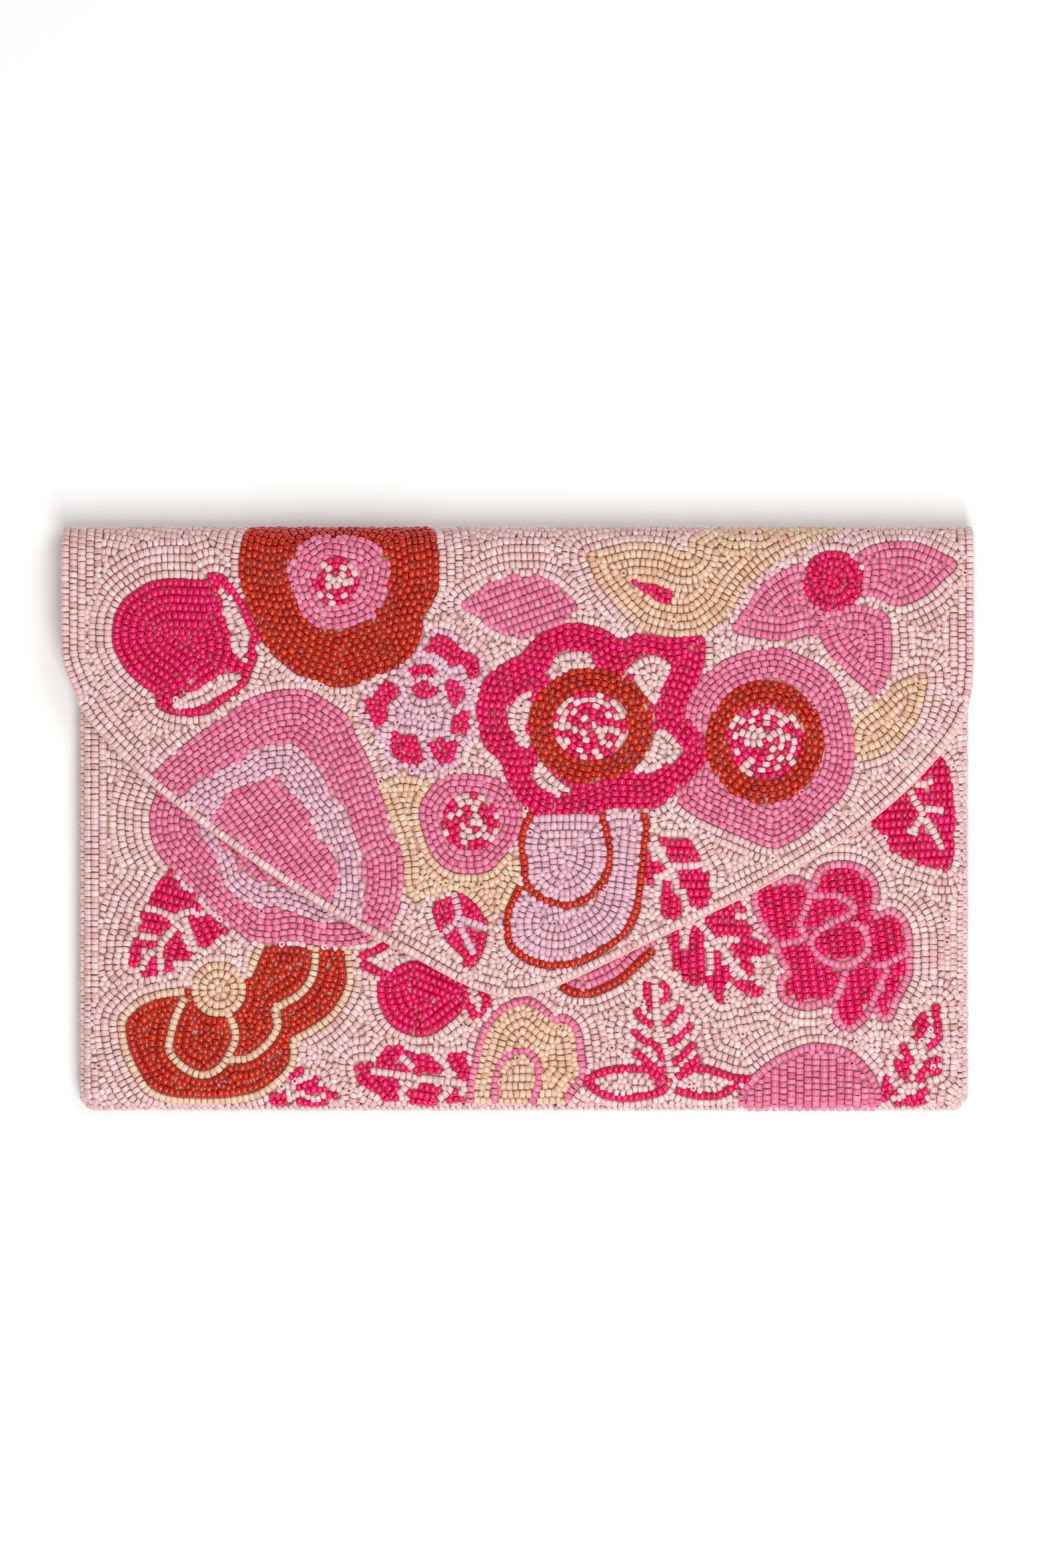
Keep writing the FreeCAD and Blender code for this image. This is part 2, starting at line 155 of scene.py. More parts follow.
# Motifs of the flap: a colour, how its strings run, and outlines. An outline of one entry is an ellipse:
# its centre and its two half widths.
FLAP_MOTIFS = [
    # two-lobed leaf at the fold, with a small bud
    (CREAM, "rings",
     [(18.5, 71), (24.8, 73.3), (31.4, 74.6), (39.8, 73.8), (45.2, 71.7), (46, 75.8), (50.2, 78.1),
      (56, 84), (58.5, 78), (61, 83), (63.9, 78), (70, 84), (84, 84), (87.7, 78.1), (81, 75),
      (74.3, 71.7), (67.7, 67.9), (62.7, 63.3), (59.3, 59.2), (56.8, 55), (51, 50.4), (48.1, 49),
      (41.8, 48.5), (33.5, 50.6), (28.9, 54.2), (25.2, 58.3), (21.4, 63.3), (18.9, 69.2)]),
    (HOT, "rings",
     [(31.2, 63.8), (36, 63.8), (38.1, 62.5), (41, 61.7), (41.6, 59.2), (39.3, 57.5), (34.3, 59.6),
      (32.3, 61.7)]),
    # three petals round a bud
    (MID, "rings",
     [(77.7, 68.1), (70.2, 66.3), (63.9, 61.3), (60.2, 55.4), (57.3, 50.8), (62.7, 48.8), (71.4, 47.7),
      (77.7, 49.2), (81, 49.6), (85, 58)],
     [(92.7, 67.5), (90.6, 70.4), (96, 74), (105.2, 74.8), (113.1, 71.7), (117.9, 68.3), (114.3, 64.2),
      (108.9, 59.6), (101.4, 56.9), (96, 59.2), (92, 60)],
     [(81, 54.6), (86.8, 57), (91.8, 57.5), (98.9, 55), (100.2, 47.5), (99.8, 40), (98.1, 35.4),
      (96, 32.9), (92.3, 35.8), (87.3, 40), (83.5, 44.2), (81, 49.6)]),
    (HOT, "circles", [(84.6, 63.7, 8.3, 8.3)]),
    # leaf on the right
    (CREAM, "rings",
     [(99.8, 35.4), (104.3, 37.9), (109.5, 39), (109.3, 33.5), (107.7, 27.7), (104.3, 22.7), (99.8, 18.1),
      (93.5, 15.6), (88, 15.6), (88, 21.8), (90, 27.3), (96.8, 32.3)]),
    # ringed flower on the right
    (MID, "spokes",
     [(56, 42.9), (61.4, 44.8), (69.8, 45.8), (76.8, 43.3), (83.1, 39.6), (86.6, 34.8), (88.9, 28.1),
      (90.4, 20.6), (90, 13.5), (87.3, 6.8), (83.1, 2.3), (78.5, -2.8), (71.8, -6.9), (67.7, -7.8),
      (60.2, -4.8), (52.3, -1.5), (46, 1.8), (42.3, 6), (44, 18), (44.8, 28.5), (46.4, 33.5),
      (49.8, 38.3), (55.2, 42.5)]),
    (RUST, "spokes", [(66.3, 20.6, 16, 16.7)]),
    (HOT, "mixed", [(66.2, 21, 10.4, 10.4)]),
    # leaf above the big flower
    (MID, "lines 20",
     [(-15, 57.5), (-9.4, 61.7), (-2.8, 64.4), (4.3, 64.8), (8.5, 63.8), (11.4, 61.7), (16, 56.7),
      (11, 52.5), (3.5, 49.2), (-0.3, 49), (-5.7, 50.4), (-11.1, 54.6)]),
    # big flower, with pale slits and a mixed core
    (HOT, "spokes",
     [(11.4, 51.7), (13.9, 52.7), (18.5, 52.1), (23.9, 50.4), (27.7, 48.1), (32.7, 49.8), (40.2, 48.5),
      (49.3, 49), (50.2, 42.5), (48.9, 37.9), (46, 31.8), (44.8, 28.5), (48.5, 23.9), (50.2, 22.3),
      (51, 16.4), (47.3, 11.4), (42.7, 6.8), (36, 2.7), (25.2, 2.7), (19.3, 0.6), (10.2, -0.9),
      (5.2, 0.6), (-0.3, 5.6), (-3.2, 11), (-4.4, 15.2), (-9, 19.8), (-10.7, 25.2), (-10.7, 32.3),
      (-7.8, 38.8), (-1.5, 42.9), (1, 44.2), (5.2, 49.2), (8.5, 50.4)]),
    (IVORY, "rings",
     [(10.2, 43.8), (18.5, 45), (20, 40.4), (13.9, 40), (13.1, 37.7), (8.1, 37.5), (8.9, 41.3)],
     [(28.5, 39.6), (34.8, 43.8), (39.3, 42.9), (41.4, 40.4), (39.3, 35.8), (37.3, 30.6), (34.3, 32.7),
      (31, 37.5)],
     [(37.3, 24.8), (41.8, 22.3), (43.9, 19.8), (43.1, 16.4), (40.2, 14.3), (32.7, 11.4), (30.6, 12.7),
      (35.2, 18.1)],
     [(5.6, 16), (8.1, 13.5), (10.2, 11), (15.2, 7.7), (11.4, 6.4), (7.7, 7.3), (5.2, 9.3), (3.9, 12.7)],
     [(1, 33.9), (3.9, 33.9), (2.9, 26.8), (2.3, 23.5), (4.3, 21), (1.4, 18.9), (-0.7, 21), (-2.8, 27.3),
      (-0.7, 32.3)]),
    (RUST, "spokes", [(19.7, 25, 16.8, 15.7)]),
    (HOT, "mixed", [(19.4, 25, 9.9, 9.3)]),
    # lacy flower
    (LILAC, "edge",
     [(-23.2, 50.8), (-19, 50.8), (-15.7, 49.2), (-12.3, 46.7), (-9.8, 45), (-8.4, 41.7), (-8.2, 38.3),
      (-10.3, 36.3), (-11.5, 31.4), (-10.7, 25.6), (-11.1, 22.7), (-14, 20.6), (-15.7, 15.2),
      (-18.2, 12.7), (-22.3, 13.5), (-26.5, 12.3), (-30.7, 12.7), (-34, 14.3), (-35.3, 17.7),
      (-35.3, 20.6), (-38.2, 21.8), (-40.7, 24.8), (-42.8, 27.7), (-42.8, 31.8), (-39, 35.2), (-34, 38.8),
      (-29.4, 42.5), (-27.3, 44.6), (-25.3, 48.8)]),
    (HOT, "edge",
     [(-22.3, 49.2), (-18.6, 48.8), (-14, 45), (-11.1, 43.8), (-10, 41.7), (-10.7, 39.2), (-12.3, 37.1),
      (-15.3, 41.3), (-18.2, 40.8), (-21.5, 44.2), (-25.3, 44.6), (-24.8, 46.7)],
     [(-28.6, 40), (-24.8, 41.5), (-21.5, 39.7), (-24, 38.3), (-27.3, 38.3)],
     [(-38, 33.9), (-34.8, 36.5), (-31.9, 35.6), (-31.5, 33.5), (-34, 31.4), (-35.3, 29.8), (-34.6, 27.7),
      (-36.9, 23.1), (-39, 25.2), (-40.5, 30.6)],
     [(-29.4, 35.6), (-26, 36.5), (-22.3, 35.2), (-21.9, 33.5), (-25.7, 32.3), (-28.2, 33.9)],
     [(-19.8, 36.3), (-17.3, 37.9), (-14.4, 35), (-14.4, 31.8), (-17.7, 30.6)],
     [(-17.7, 26), (-16.5, 28.5), (-14, 28.9), (-12.8, 26.4), (-13.2, 23.5), (-15.3, 21.8), (-17.7, 23.1)],
     [(-23.6, 21.4), (-19.8, 21.4), (-16.1, 19.8), (-16.5, 17.3), (-18.2, 14.3), (-21.1, 15.2),
      (-23.6, 18.5)],
     [(-33.2, 23.5), (-30.7, 22.3), (-27.8, 22.7), (-26.1, 20.2), (-24.8, 15.6), (-27.3, 14.3),
      (-31.1, 15), (-34, 18.1), (-34.4, 21)]),
    # tall flower in three bands
    (MID, "spokes",
     [(-98.8, 10.6), (-94.8, 15.2), (-89.4, 19.8), (-84, 23.9), (-77.8, 28.1), (-71.5, 32.3),
      (-64.8, 34.3), (-59.8, 34.8), (-55.7, 34.3), (-50.3, 31), (-45.7, 27.7), (-43.6, 22.7),
      (-40.7, 17.3), (-38.2, 11), (-35.7, 3.5), (-33.6, -3.6), (-31.1, -8.1), (-30.5, -15.2),
      (-30.7, -18.9), (-31.9, -24.3), (-34, -28.9), (-36, -40), (-70, -30), (-104, 0)]),
    (LILAC, "spokes",
     [(-92, 2), (-87.3, 8.5), (-82.8, 11.4), (-78.2, 13.9), (-74, 16), (-70.3, 18.9), (-63.2, 20.2),
      (-59.4, 19.8), (-55.3, 15.6), (-51.9, 11), (-50.3, 7.7), (-46.1, 2.7), (-44.4, -2.3), (-41.7, -9),
      (-41.1, -14.3), (-40.9, -18.5), (-41.5, -23.5), (-44, -32), (-70, -28), (-96, -4)]),
    (MID, "lines 128",
     [(-86, -4), (-83.2, -0.7), (-80.7, 2.7), (-77.8, 6.8), (-73.2, 8.9), (-67.3, 10.4), (-64.8, 11.4),
      (-60.3, 7.7), (-56.1, 2.7), (-54, -3.6), (-49.8, -8.2), (-48, -14.3), (-48.6, -19.8), (-51.1, -26),
      (-70, -28), (-86, -12)]),
    # flower that rolls over the fold
    (RUST, "spokes",
     [(-74.2, 72.9), (-74.8, 67.5), (-74.2, 62.5), (-72.3, 56.7), (-69.8, 50.8), (-66.9, 45.4),
      (-62.8, 41.7), (-58.2, 38.3), (-54.4, 37.1), (-50.3, 35.6), (-46.1, 35.4), (-42.8, 36.3),
      (-36.5, 39), (-32.8, 40), (-28.2, 43.8), (-26.5, 46.7), (-25.5, 50), (-25, 54.2), (-23.4, 57.1),
      (-21.9, 60), (-21.1, 63.3), (-21.1, 70.4), (-21.7, 73.8), (-22.3, 77.5), (-26, 84), (-36, 88),
      (-48, 89.5), (-60, 88), (-69, 84), (-73, 77.5)]),
    (MID, "spokes",
     [(-59.8, 72.5), (-56.1, 75.4), (-53.2, 76.9), (-48.2, 76.9), (-41.5, 75.8), (-38.6, 74.6),
      (-35.3, 71.3), (-33.4, 69.6), (-34, 64.2), (-35.3, 59.2), (-38.6, 54.2), (-45.3, 51.3),
      (-52.3, 50.8), (-57.3, 53.8), (-60.3, 59.2), (-62.3, 66.3), (-60.7, 69.2)]),
    (HOT, "mixed", [(-48.5, 63.5, 6.1, 6.7)]),
    # bud with two pale slits
    (HOT, "rings",
     [(-108.6, 50), (-108, 54.2), (-106.9, 56.7), (-105.2, 59.2), (-102.3, 61.3), (-99.4, 63.1),
      (-96.5, 64), (-92.3, 64.4), (-87.3, 64.2), (-83, 64.2), (-83, 65.6), (-81.5, 66), (-79.8, 65.8),
      (-77.8, 64.6), (-75.7, 62.1), (-74, 59.6), (-72.3, 56.7), (-71.1, 53.3), (-69.4, 50), (-69.2, 48.1),
      (-70, 46.7), (-69.8, 42.9), (-70.9, 40.4), (-72.3, 36.7), (-73.6, 34.8), (-76.1, 32.7),
      (-79.8, 30.6), (-82.3, 28.5), (-87.3, 27.5), (-91.5, 27.9), (-94.8, 28.9), (-96.9, 30.6),
      (-97.3, 33.5), (-100.3, 35.6), (-104.4, 39.2), (-106.1, 41.7), (-108.2, 45.8)]),
    (IVORY, "edge",
     [(-80.3, 62.6), (-77.8, 60.8), (-76.1, 58.3), (-74.4, 55.4), (-72.8, 52.5), (-71.5, 49.2),
      (-72.3, 47.1), (-72.8, 42.1), (-76.1, 44.2), (-77.1, 46.3), (-77.5, 49.2), (-78.2, 52.5),
      (-78.8, 55), (-79.8, 60.8)],
     [(-93, 31), (-90, 33.6), (-85.5, 35), (-83.2, 36.9), (-79.5, 38.9), (-74.2, 39), (-73.9, 36.9),
      (-76.5, 34.9), (-80.3, 32.7), (-84.5, 30.4), (-88.6, 29.3), (-92.5, 29.4)]),
    # small flower between two leaves
    (CREAM, "edge",
     [(-31.1, 11.8), (-24, 10.6), (-22.3, 9.3), (-14, 0), (0.2, -9.8), (0.8, -15.6), (-1.5, -21),
      (-4, -25.2), (-6.1, -26), (-6.5, -28.5), (-8.2, -29.3), (-10.3, -23.9), (-15.3, -20.2),
      (-22.3, -20.2), (-27.8, -22.3), (-30.3, -17.7), (-30.7, -11.4), (-32.8, -4), (-35.3, 2.7),
      (-36.9, 9.3)]),
    (MID, "spokes",
     [(-26.3, 2.7), (-23.2, 8.5), (-18.6, 11.8), (-9.8, 11.8), (-3.6, 9.8), (-0.7, 6.8), (1.4, 0.6),
      (-0.3, -5.7), (-4, -10.2), (-8.2, -14.1), (-16.1, -14.5), (-21.5, -11.4), (-24.8, -5.3)]),
    (HOT, "mixed", [(-12.6, -0.9, 8, 8)]),
    # two petals
    (LILAC, "rings",
     OUTER_PETAL + [(22.7, 1), (12, -15)], INNER_PETAL),
    # small leaf
    (HOT, "rings",
     [(-18.6, -20.6), (-22.8, -23.1), (-21.5, -28.5), (-19, -32.7), (-14.8, -36.8), (-13.2, -39.8),
      (-10.3, -37.7), (-8.2, -30.6), (-9.8, -24.8), (-14, -20.6)]),
    # leaf that the flap's edge cuts
    (HOT, "lines 178", [(37.5, -5.5), (45, -5), (47.3, -7.5), (48.5, -11), (41, -11.3), (39.6, -8.5)]),
    (HOT, "lines 100",
     [(35, -8.6), (37.3, -11.5), (39.3, -12), (38.4, -14.5), (36.8, -14.5), (36.8, -17.8), (34.9, -17.5)]),
    (HOT, "lines 85",
     [(39.3, -16.2), (41.3, -16.5), (41.8, -19.5), (43.2, -21), (43.8, -24.5), (42.8, -27.5), (40, -26.8),
      (38, -23.8), (38.7, -20.5)]),
    (HOT, "lines 0",
     [(43.3, -14), (50.8, -13.8), (51, -17), (51.7, -20.5), (51.8, -22.3), (48.5, -24.3), (46.5, -22.5),
      (45.6, -18.5), (43.8, -17.5)]),
]

# Single strings: a colour, and the points of each string
FLAP_STROKES = [
    # rims of the two petals
    (RUST,
     INNER_PETAL, OUTER_PETAL),
    # veins of the small leaf
    (LILAC,
     [(-17.1, -20.2), (-15.5, -26), (-15.3, -28.9), (-13.6, -32.3), (-11.9, -35.8)],
     [(-15.5, -26.5), (-19.8, -30.6)], [(-14.8, -26.8), (-9, -28.9)]),
    # veins of the cut leaf
    (IVORY,
     [(36.5, -5), (37, -6.5), (38.7, -9.7), (40.5, -12.6), (42, -15.5), (42.8, -18.2)],
     [(44.2, -19.2), (44.6, -21), (45, -22.6), (45.7, -24.3)], [(41.5, -12.8), (48.8, -12.4)],
     [(40, -14.5), (38.3, -15.5), (37.5, -17.5), (37.4, -20), (36.8, -22.5)]),
]

# Motifs and single strings of the front panel, the part under the flap included
FRONT_MOTIFS = [
    # tall flower, its part under the flap
    (MID, "spokes",
     [(-98.2, 3.9), (-98.6, -4), (-96.1, -9.8), (-92.3, -13.9), (-88.2, -18.1), (-84.4, -21.8),
      (-80.3, -26), (-74.8, -30.6), (-72.3, -32.7), (-65.7, -33.5), (-59.8, -32.7), (-52.8, -34.3),
      (-43.2, -33.9), (-36, -30), (-32, -18), (-38, 2), (-54, 16), (-76, 18), (-92, 14)]),
    (LILAC, "spokes",
     [(-88, 6), (-85.3, -4), (-82.3, -8.5), (-79.8, -13.9), (-79, -17.3), (-74.8, -21.4), (-69, -24.3),
      (-63.2, -24.3), (-57.8, -26), (-50.7, -28.1), (-42, -22), (-42, -8), (-52, 8), (-72, 12)]),
    (MID, "lines 128",
     [(-80, 2), (-79.8, -6), (-76.1, -10.6), (-74.8, -13.9), (-70.3, -16), (-64.4, -18.9), (-52, -16),
      (-50, -4), (-60, 4), (-72, 6)]),
    # leaf on the left, in six parts
    (HOT, "lines 164",
     [(-94.3, -14.5), (-91.5, -15.5), (-90, -18.5), (-87, -20.5), (-84.5, -23.5), (-84, -25.3),
      (-89, -24), (-90.5, -25), (-94.5, -24.3), (-98.8, -22.8), (-97.5, -19.5), (-96.3, -17)]),
    (HOT, "lines 172",
     [(-101, -25.3), (-97, -25.8), (-92.3, -27.7), (-93.5, -29.3), (-95, -30.6), (-99, -30.5),
      (-102.8, -29.5), (-101, -28)]),
    (HOT, "lines 178",
     [(-103.2, -32.5), (-97.3, -32.5), (-97.3, -34.3), (-100, -35), (-101.2, -37), (-102.3, -39.5),
      (-104.5, -39), (-103.5, -36)]),
    (HOT, "lines 90", [(-99, -37), (-97, -37), (-97, -41.2), (-101, -42.2), (-99.3, -39.5)]),
    (HOT, "lines 72",
     [(-91.5, -30.5), (-89.8, -31.5), (-88, -36), (-88, -38), (-92, -37.5), (-92.3, -40.5),
      (-94.4, -40.6), (-94.7, -35), (-93, -32.5)]),
    (HOT, "lines 115",
     [(-88.3, -26.8), (-85.5, -26), (-81.5, -25.8), (-79.5, -28.5), (-78, -29.3), (-80.5, -31.5),
      (-83, -34), (-85.3, -34.2), (-86.5, -31)]),
    # rust flower
    (RUST, "edge",
     RUST_RIM + [(-54.2, -34.8), (-69, -33.9), (-71.1, -38.9), (-73.3, -43.5), (-80, -46), (-87.5, -45)]),
    (CREAM, "circles", [(-80.3, -45.8, 7.5, 7.5)]),
    # round bud
    (HOT, "rings",
     [(-37.8, -45.4), (-37.3, -49.2), (-34.4, -55), (-28.6, -58.1), (-24, -58.3), (-20.3, -56.3),
      (-15.7, -52.5), (-12.8, -49.6), (-14, -44), (-22.3, -40), (-28.2, -38.1), (-33.2, -40.2),
      (-36.1, -41), (-37.3, -43.1)]),
    # leaf at the bottom, in five parts
    (HOT, "lines 128",
     [(-44, -66), (-41, -65), (-38.5, -65.8), (-36.5, -63), (-34, -60.8), (-31.3, -61.8), (-30.8, -64.5),
      (-29.3, -67.5), (-31.5, -70.5), (-31.2, -72), (-33, -74.8), (-31, -76), (-34.5, -76.2),
      (-37.5, -74), (-40.5, -72), (-42.8, -69.2)]),
    (HOT, "lines 88",
     [(-30, -62.2), (-27.5, -63.3), (-23.2, -63), (-22.5, -65.3), (-20.5, -67), (-20.3, -69.3),
      (-24, -68.5), (-28, -68.5), (-28, -66), (-29.8, -64.3)]),
    (HOT, "lines 120",
     [(-19.3, -64), (-17, -63), (-14.2, -63.3), (-13.3, -66.5), (-13.8, -69.7), (-16, -69.5),
      (-17.5, -67.5)]),
    (HOT, "lines 170",
     [(-29.3, -74), (-28, -72.3), (-24, -71.3), (-20.5, -72.5), (-21, -75), (-23.5, -77.3), (-28.8, -76.8)]),
    (HOT, "lines 10",
     [(-16.8, -72.2), (-15.5, -74), (-13.5, -75.5), (-14.8, -77.2), (-19.8, -77), (-18.8, -75)]),
    # arch
    (CREAM, "rings", [(-12.8, -76.9)] + ARCH + [(12.9, -76.9)]),
    # petal under the flap's tip
    (MID, "edge",
     [(11.8, -44.8), (13.9, -46.2), (17.3, -47), (21, -46.4), (27.7, -43.1), (32.3, -38.9), (36, -35.6),
      (38, -31), (24, -30), (8, -34)]),
    # two open leaves
    (IVORY, "rings",
     [(18.5, -70.2), (25.2, -67.5), (30.2, -67.1), (34.3, -67.3), (40.2, -70.4), (40.6, -71.7),
      (38.1, -73.3), (31.4, -75.4), (27.3, -75.4), (23.5, -74.4)],
     [(43.1, -69.2), (48.1, -67.1), (51.8, -67.5), (57.7, -69.6), (62.3, -70), (58.9, -71.7),
      (53.5, -74.6), (49.3, -74.8), (43.1, -72.9)]),
    # half round
    (MID, "lines 90", [(60.2, -78)] + MOUND + [(96.8, -78)]),
    # flower with many petals
    (HOT, "lines 98", MANY_PETALS),
    # leaf below the flap's edge, in four parts
    (HOT, "lines 92",
     [(40.8, -31), (43.8, -30.2), (43.6, -34), (46, -34), (46.8, -29.6), (48.5, -29.3), (50.7, -31.5),
      (50.5, -35), (50.5, -41), (53.3, -41), (53, -36.2), (54.5, -36), (56, -39.5), (58, -43),
      (56.5, -44.2), (55.2, -46), (56, -49.5), (53.5, -49), (51.5, -45.5), (47, -43.8), (43, -41),
      (41.5, -37.5)]),
    (HOT, "lines 178",
     [(50.8, -26.5), (55, -24), (60.2, -22.2), (60.4, -25), (58.5, -27.3), (62, -28), (62.3, -31.3),
      (57.5, -31.3), (53.5, -31), (51.5, -28.5)]),
    (HOT, "lines 160",
     [(56.5, -34.3), (60, -33.5), (60.5, -32.2), (68, -35), (67, -36.5), (63.5, -36.8), (63.5, -42.5),
      (61.5, -40.5), (58.5, -37)]),
    (HOT, "lines 140", [(58.3, -43.8), (61.5, -42.8), (65.8, -46.5), (64.5, -47.5), (61, -46.5)]),
    # leaf at the right edge
    (HOT, "lines 4",
     [(113.1, 16.8), (104, 9), (95.2, 0.2), (98.1, -4), (101.8, -9), (108.1, -11.8), (116, -13.5),
      (117.3, -5.7), (117.3, 3.5), (116.4, 10.2)]),
]
FRONT_STROKES = [
    # rims inside the rust flower
    (CREAM,
     RUST_RIM,
     [(-54.2, -34.8), (-54.6, -40.2), (-56.1, -44.3), (-59.4, -47.7), (-63.2, -49.8), (-65.3, -51.7),
      (-64.4, -55.4), (-66.9, -60), (-72.3, -64.2), (-78.2, -64.6)],
     [(-89.6, -48.3), (-91.9, -53.3), (-93.4, -58.8), (-93.6, -62.5), (-89.8, -66.7), (-84.4, -68.8),
      (-79.4, -66.3), (-76.1, -60), (-75.9, -56.7), (-77.8, -52.1)],
     [(-69, -33.9), (-71.1, -38.9), (-72.3, -41.8)]),
    # leaves of the round bud
    (HOT,
     [(-35.7, -33.9), (-41.9, -37)], [(-41.7, -38.9), (-36.9, -41.4)],
     [(-9.5, -46.8), (-8.2, -49.5), (-9.5, -51.8)], [(-12.8, -50.3), (-11.3, -53)]),
    # sprig at the bottom left
    (HOT,
     [(-61, -69.4), (-59.4, -68.4), (-57.8, -67)], [(-59, -72.2), (-56.5, -71.3), (-53.8, -70)],
     [(-56.5, -73.4), (-54, -72.6), (-52, -73.2)], [(-66.3, -74.8), (-62.5, -74.6)],
     [(-65.8, -76.8), (-62.3, -77)], [(-58.8, -76.5), (-55.5, -77.5), (-51.2, -76.7)],
     [(-50.8, -74.6), (-48.6, -74.8)]),
    # rims of the arch
    (MID,
     [(-12.8, -76.3)] + ARCH + [(12.9, -75.8)],
     [(-6.1, -75.4), (-5.9, -69.2), (-3.6, -64.2), (0.2, -62.5), (2.9, -62.5), (5.6, -66.7), (5.4, -71.7),
      (3.9, -76.3)]),
    # rim of the petal
    (RUST,
     [(36, -35.6), (32.3, -38.9), (27.7, -43.1), (21, -46.4), (17.3, -47), (13.9, -46.2), (11.8, -44.8)]),
    # fern
    (IVORY, [(36.8, -43.3), (37.5, -54), (38.8, -58.5), (40.3, -63.5), (41.2, -69)]),
    (HOT,
     [(34.8, -44.5), (34.8, -47.8), (35.4, -50)], [(38.8, -44.5), (40.3, -46.8), (39, -49)],
     [(32.2, -51.8), (33.5, -53.6), (35.8, -55.3)], [(43.7, -51), (41.5, -53), (39.9, -55)],
     [(31.5, -57), (33.5, -59.2), (36.5, -60.4), (38.2, -62.2), (39, -63.8)],
     [(46.3, -55.5), (43.8, -58.2), (41, -60.3)],
     [(31.7, -62.5), (34.3, -64.6), (36.5, -66.6), (39.3, -67.8)],
     [(47.2, -60.8), (44, -64), (42, -65.5)], [(48.5, -64.5), (46, -66), (44.5, -67.5), (43.5, -69.8)],
     [(36, -68.8), (38, -70.2), (40.5, -71.5)]),
    # rims of the open leaves
    (HOT,
     [(18.5, -69.6), (25.2, -67.5), (30.2, -67.1), (34.3, -67.3), (40.2, -70.4)],
     [(18.5, -70.8), (23.5, -74.4), (27.3, -75.4), (31.4, -75.4), (38.1, -73.3), (40.6, -71.7)],
     [(43.1, -69.2), (48.1, -67.1), (51.8, -67.5), (57.7, -69.6), (62.3, -70)],
     [(58.9, -71.7), (53.5, -74.6), (49.3, -74.8), (43.1, -72.9)]),
    # rim of the half round
    (MID, [(60.2, -76.9)] + MOUND + [(96.8, -76.9)]),
    # rims of the many petals
    (MID,
     MANY_PETALS, [(78.7, -18.9), (78.1, -22.7), (75.8, -28.1), (77, -31.8), (71, -33.7)],
     [(79.8, -20.6), (86.4, -20.8), (90.6, -24.3), (86.8, -26.8), (82.7, -28.9), (79.3, -31.8),
      (78.9, -34.3), (82.7, -38.1), (88.5, -39.3), (93.9, -35.6), (93.5, -30.6), (90.6, -27.7)],
     [(95.2, -38.9), (98.1, -39.3), (104.8, -36)], [(99.3, -40.6), (96.8, -46), (94.8, -50.4)],
     [(88.1, -41.4), (85.6, -48.3)]),
    # veins of the leaf at the right edge
    (IVORY,
     [(107.3, 9.3), (110.6, 9.3)], [(105.6, 7.3), (106.6, 5.2), (108.9, 1), (107.7, -0.7), (106, -4)],
     [(110.2, 2.7), (113.9, 2.3)], [(109.8, -0.3), (111.4, -2.8), (114.3, -8.2)]),
    # sprig at the bottom right
    (HOT,
     [(112.4, -50.5), (112.2, -53)], [(112.9, -55), (112.8, -57)], [(109.2, -52.8), (106.5, -56.5)],
     [(110, -55), (107.8, -58.5)], [(113.2, -58.5), (110.6, -61.3)],
     [(103.6, -61), (104.4, -63.5), (105.6, -65.3)], [(102.2, -65.2), (103, -68), (104, -69.8)],
     [(104.3, -66), (105, -68.5)], [(113.2, -64.6), (110.8, -65.5), (109, -67.5), (108.2, -69.8)],
     [(113, -67.5), (110.5, -68.3)], [(99.3, -69.7), (97.5, -72)], [(100.8, -73), (98.2, -75.8)],
     [(98.8, -70.8), (100.3, -72.5)], [(109.7, -73.3), (106, -75.5), (103, -77)],
     [(109.3, -76.3), (106, -77.5)]),
    # veins of the leaf on the left
    (IVORY,
     [(-99.5, -24), (-97, -24.5), (-92.3, -26.5), (-90.5, -25.5), (-86.6, -24.7)],
     [(-89.4, -27), (-88, -31.5), (-86.5, -35.5)],
     [(-91.3, -28.3), (-94.5, -32), (-96, -34.3), (-95.8, -41)], [(-101, -31.5), (-96, -32)],
     [(-98.3, -35.8), (-100, -37.8), (-100.5, -39.5)]),
    # veins of the leaf at the bottom
    (IVORY,
     [(-39, -67.8), (-34.5, -68.3), (-30.5, -69), (-28.3, -69)],
     [(-25.5, -69.8), (-19, -70.5), (-14.5, -71)], [(-31, -64), (-28.5, -66.5)],
     [(-21.8, -64), (-19.5, -65.6), (-18.2, -69)], [(-29.2, -71), (-31.8, -74.3)],
     [(-18, -72.6), (-20.8, -75.5)]),
    # veins of the leaf below the flap's edge
    (IVORY,
     [(48.5, -28), (51.5, -31), (53.5, -34), (55.3, -35), (58, -39.3), (61.2, -42.3)],
     [(54, -32.7), (55.8, -32.2), (59, -32.5)], [(51.7, -34.8), (51.8, -37.5), (52, -40.3)],
     [(46, -28.5), (45.3, -31), (44.8, -33.2)], [(59, -26), (60.5, -26.3), (62, -25.2)],
     [(56.5, -44.5), (60, -47.5)]),
]


# ---------- outlines and grids ----------

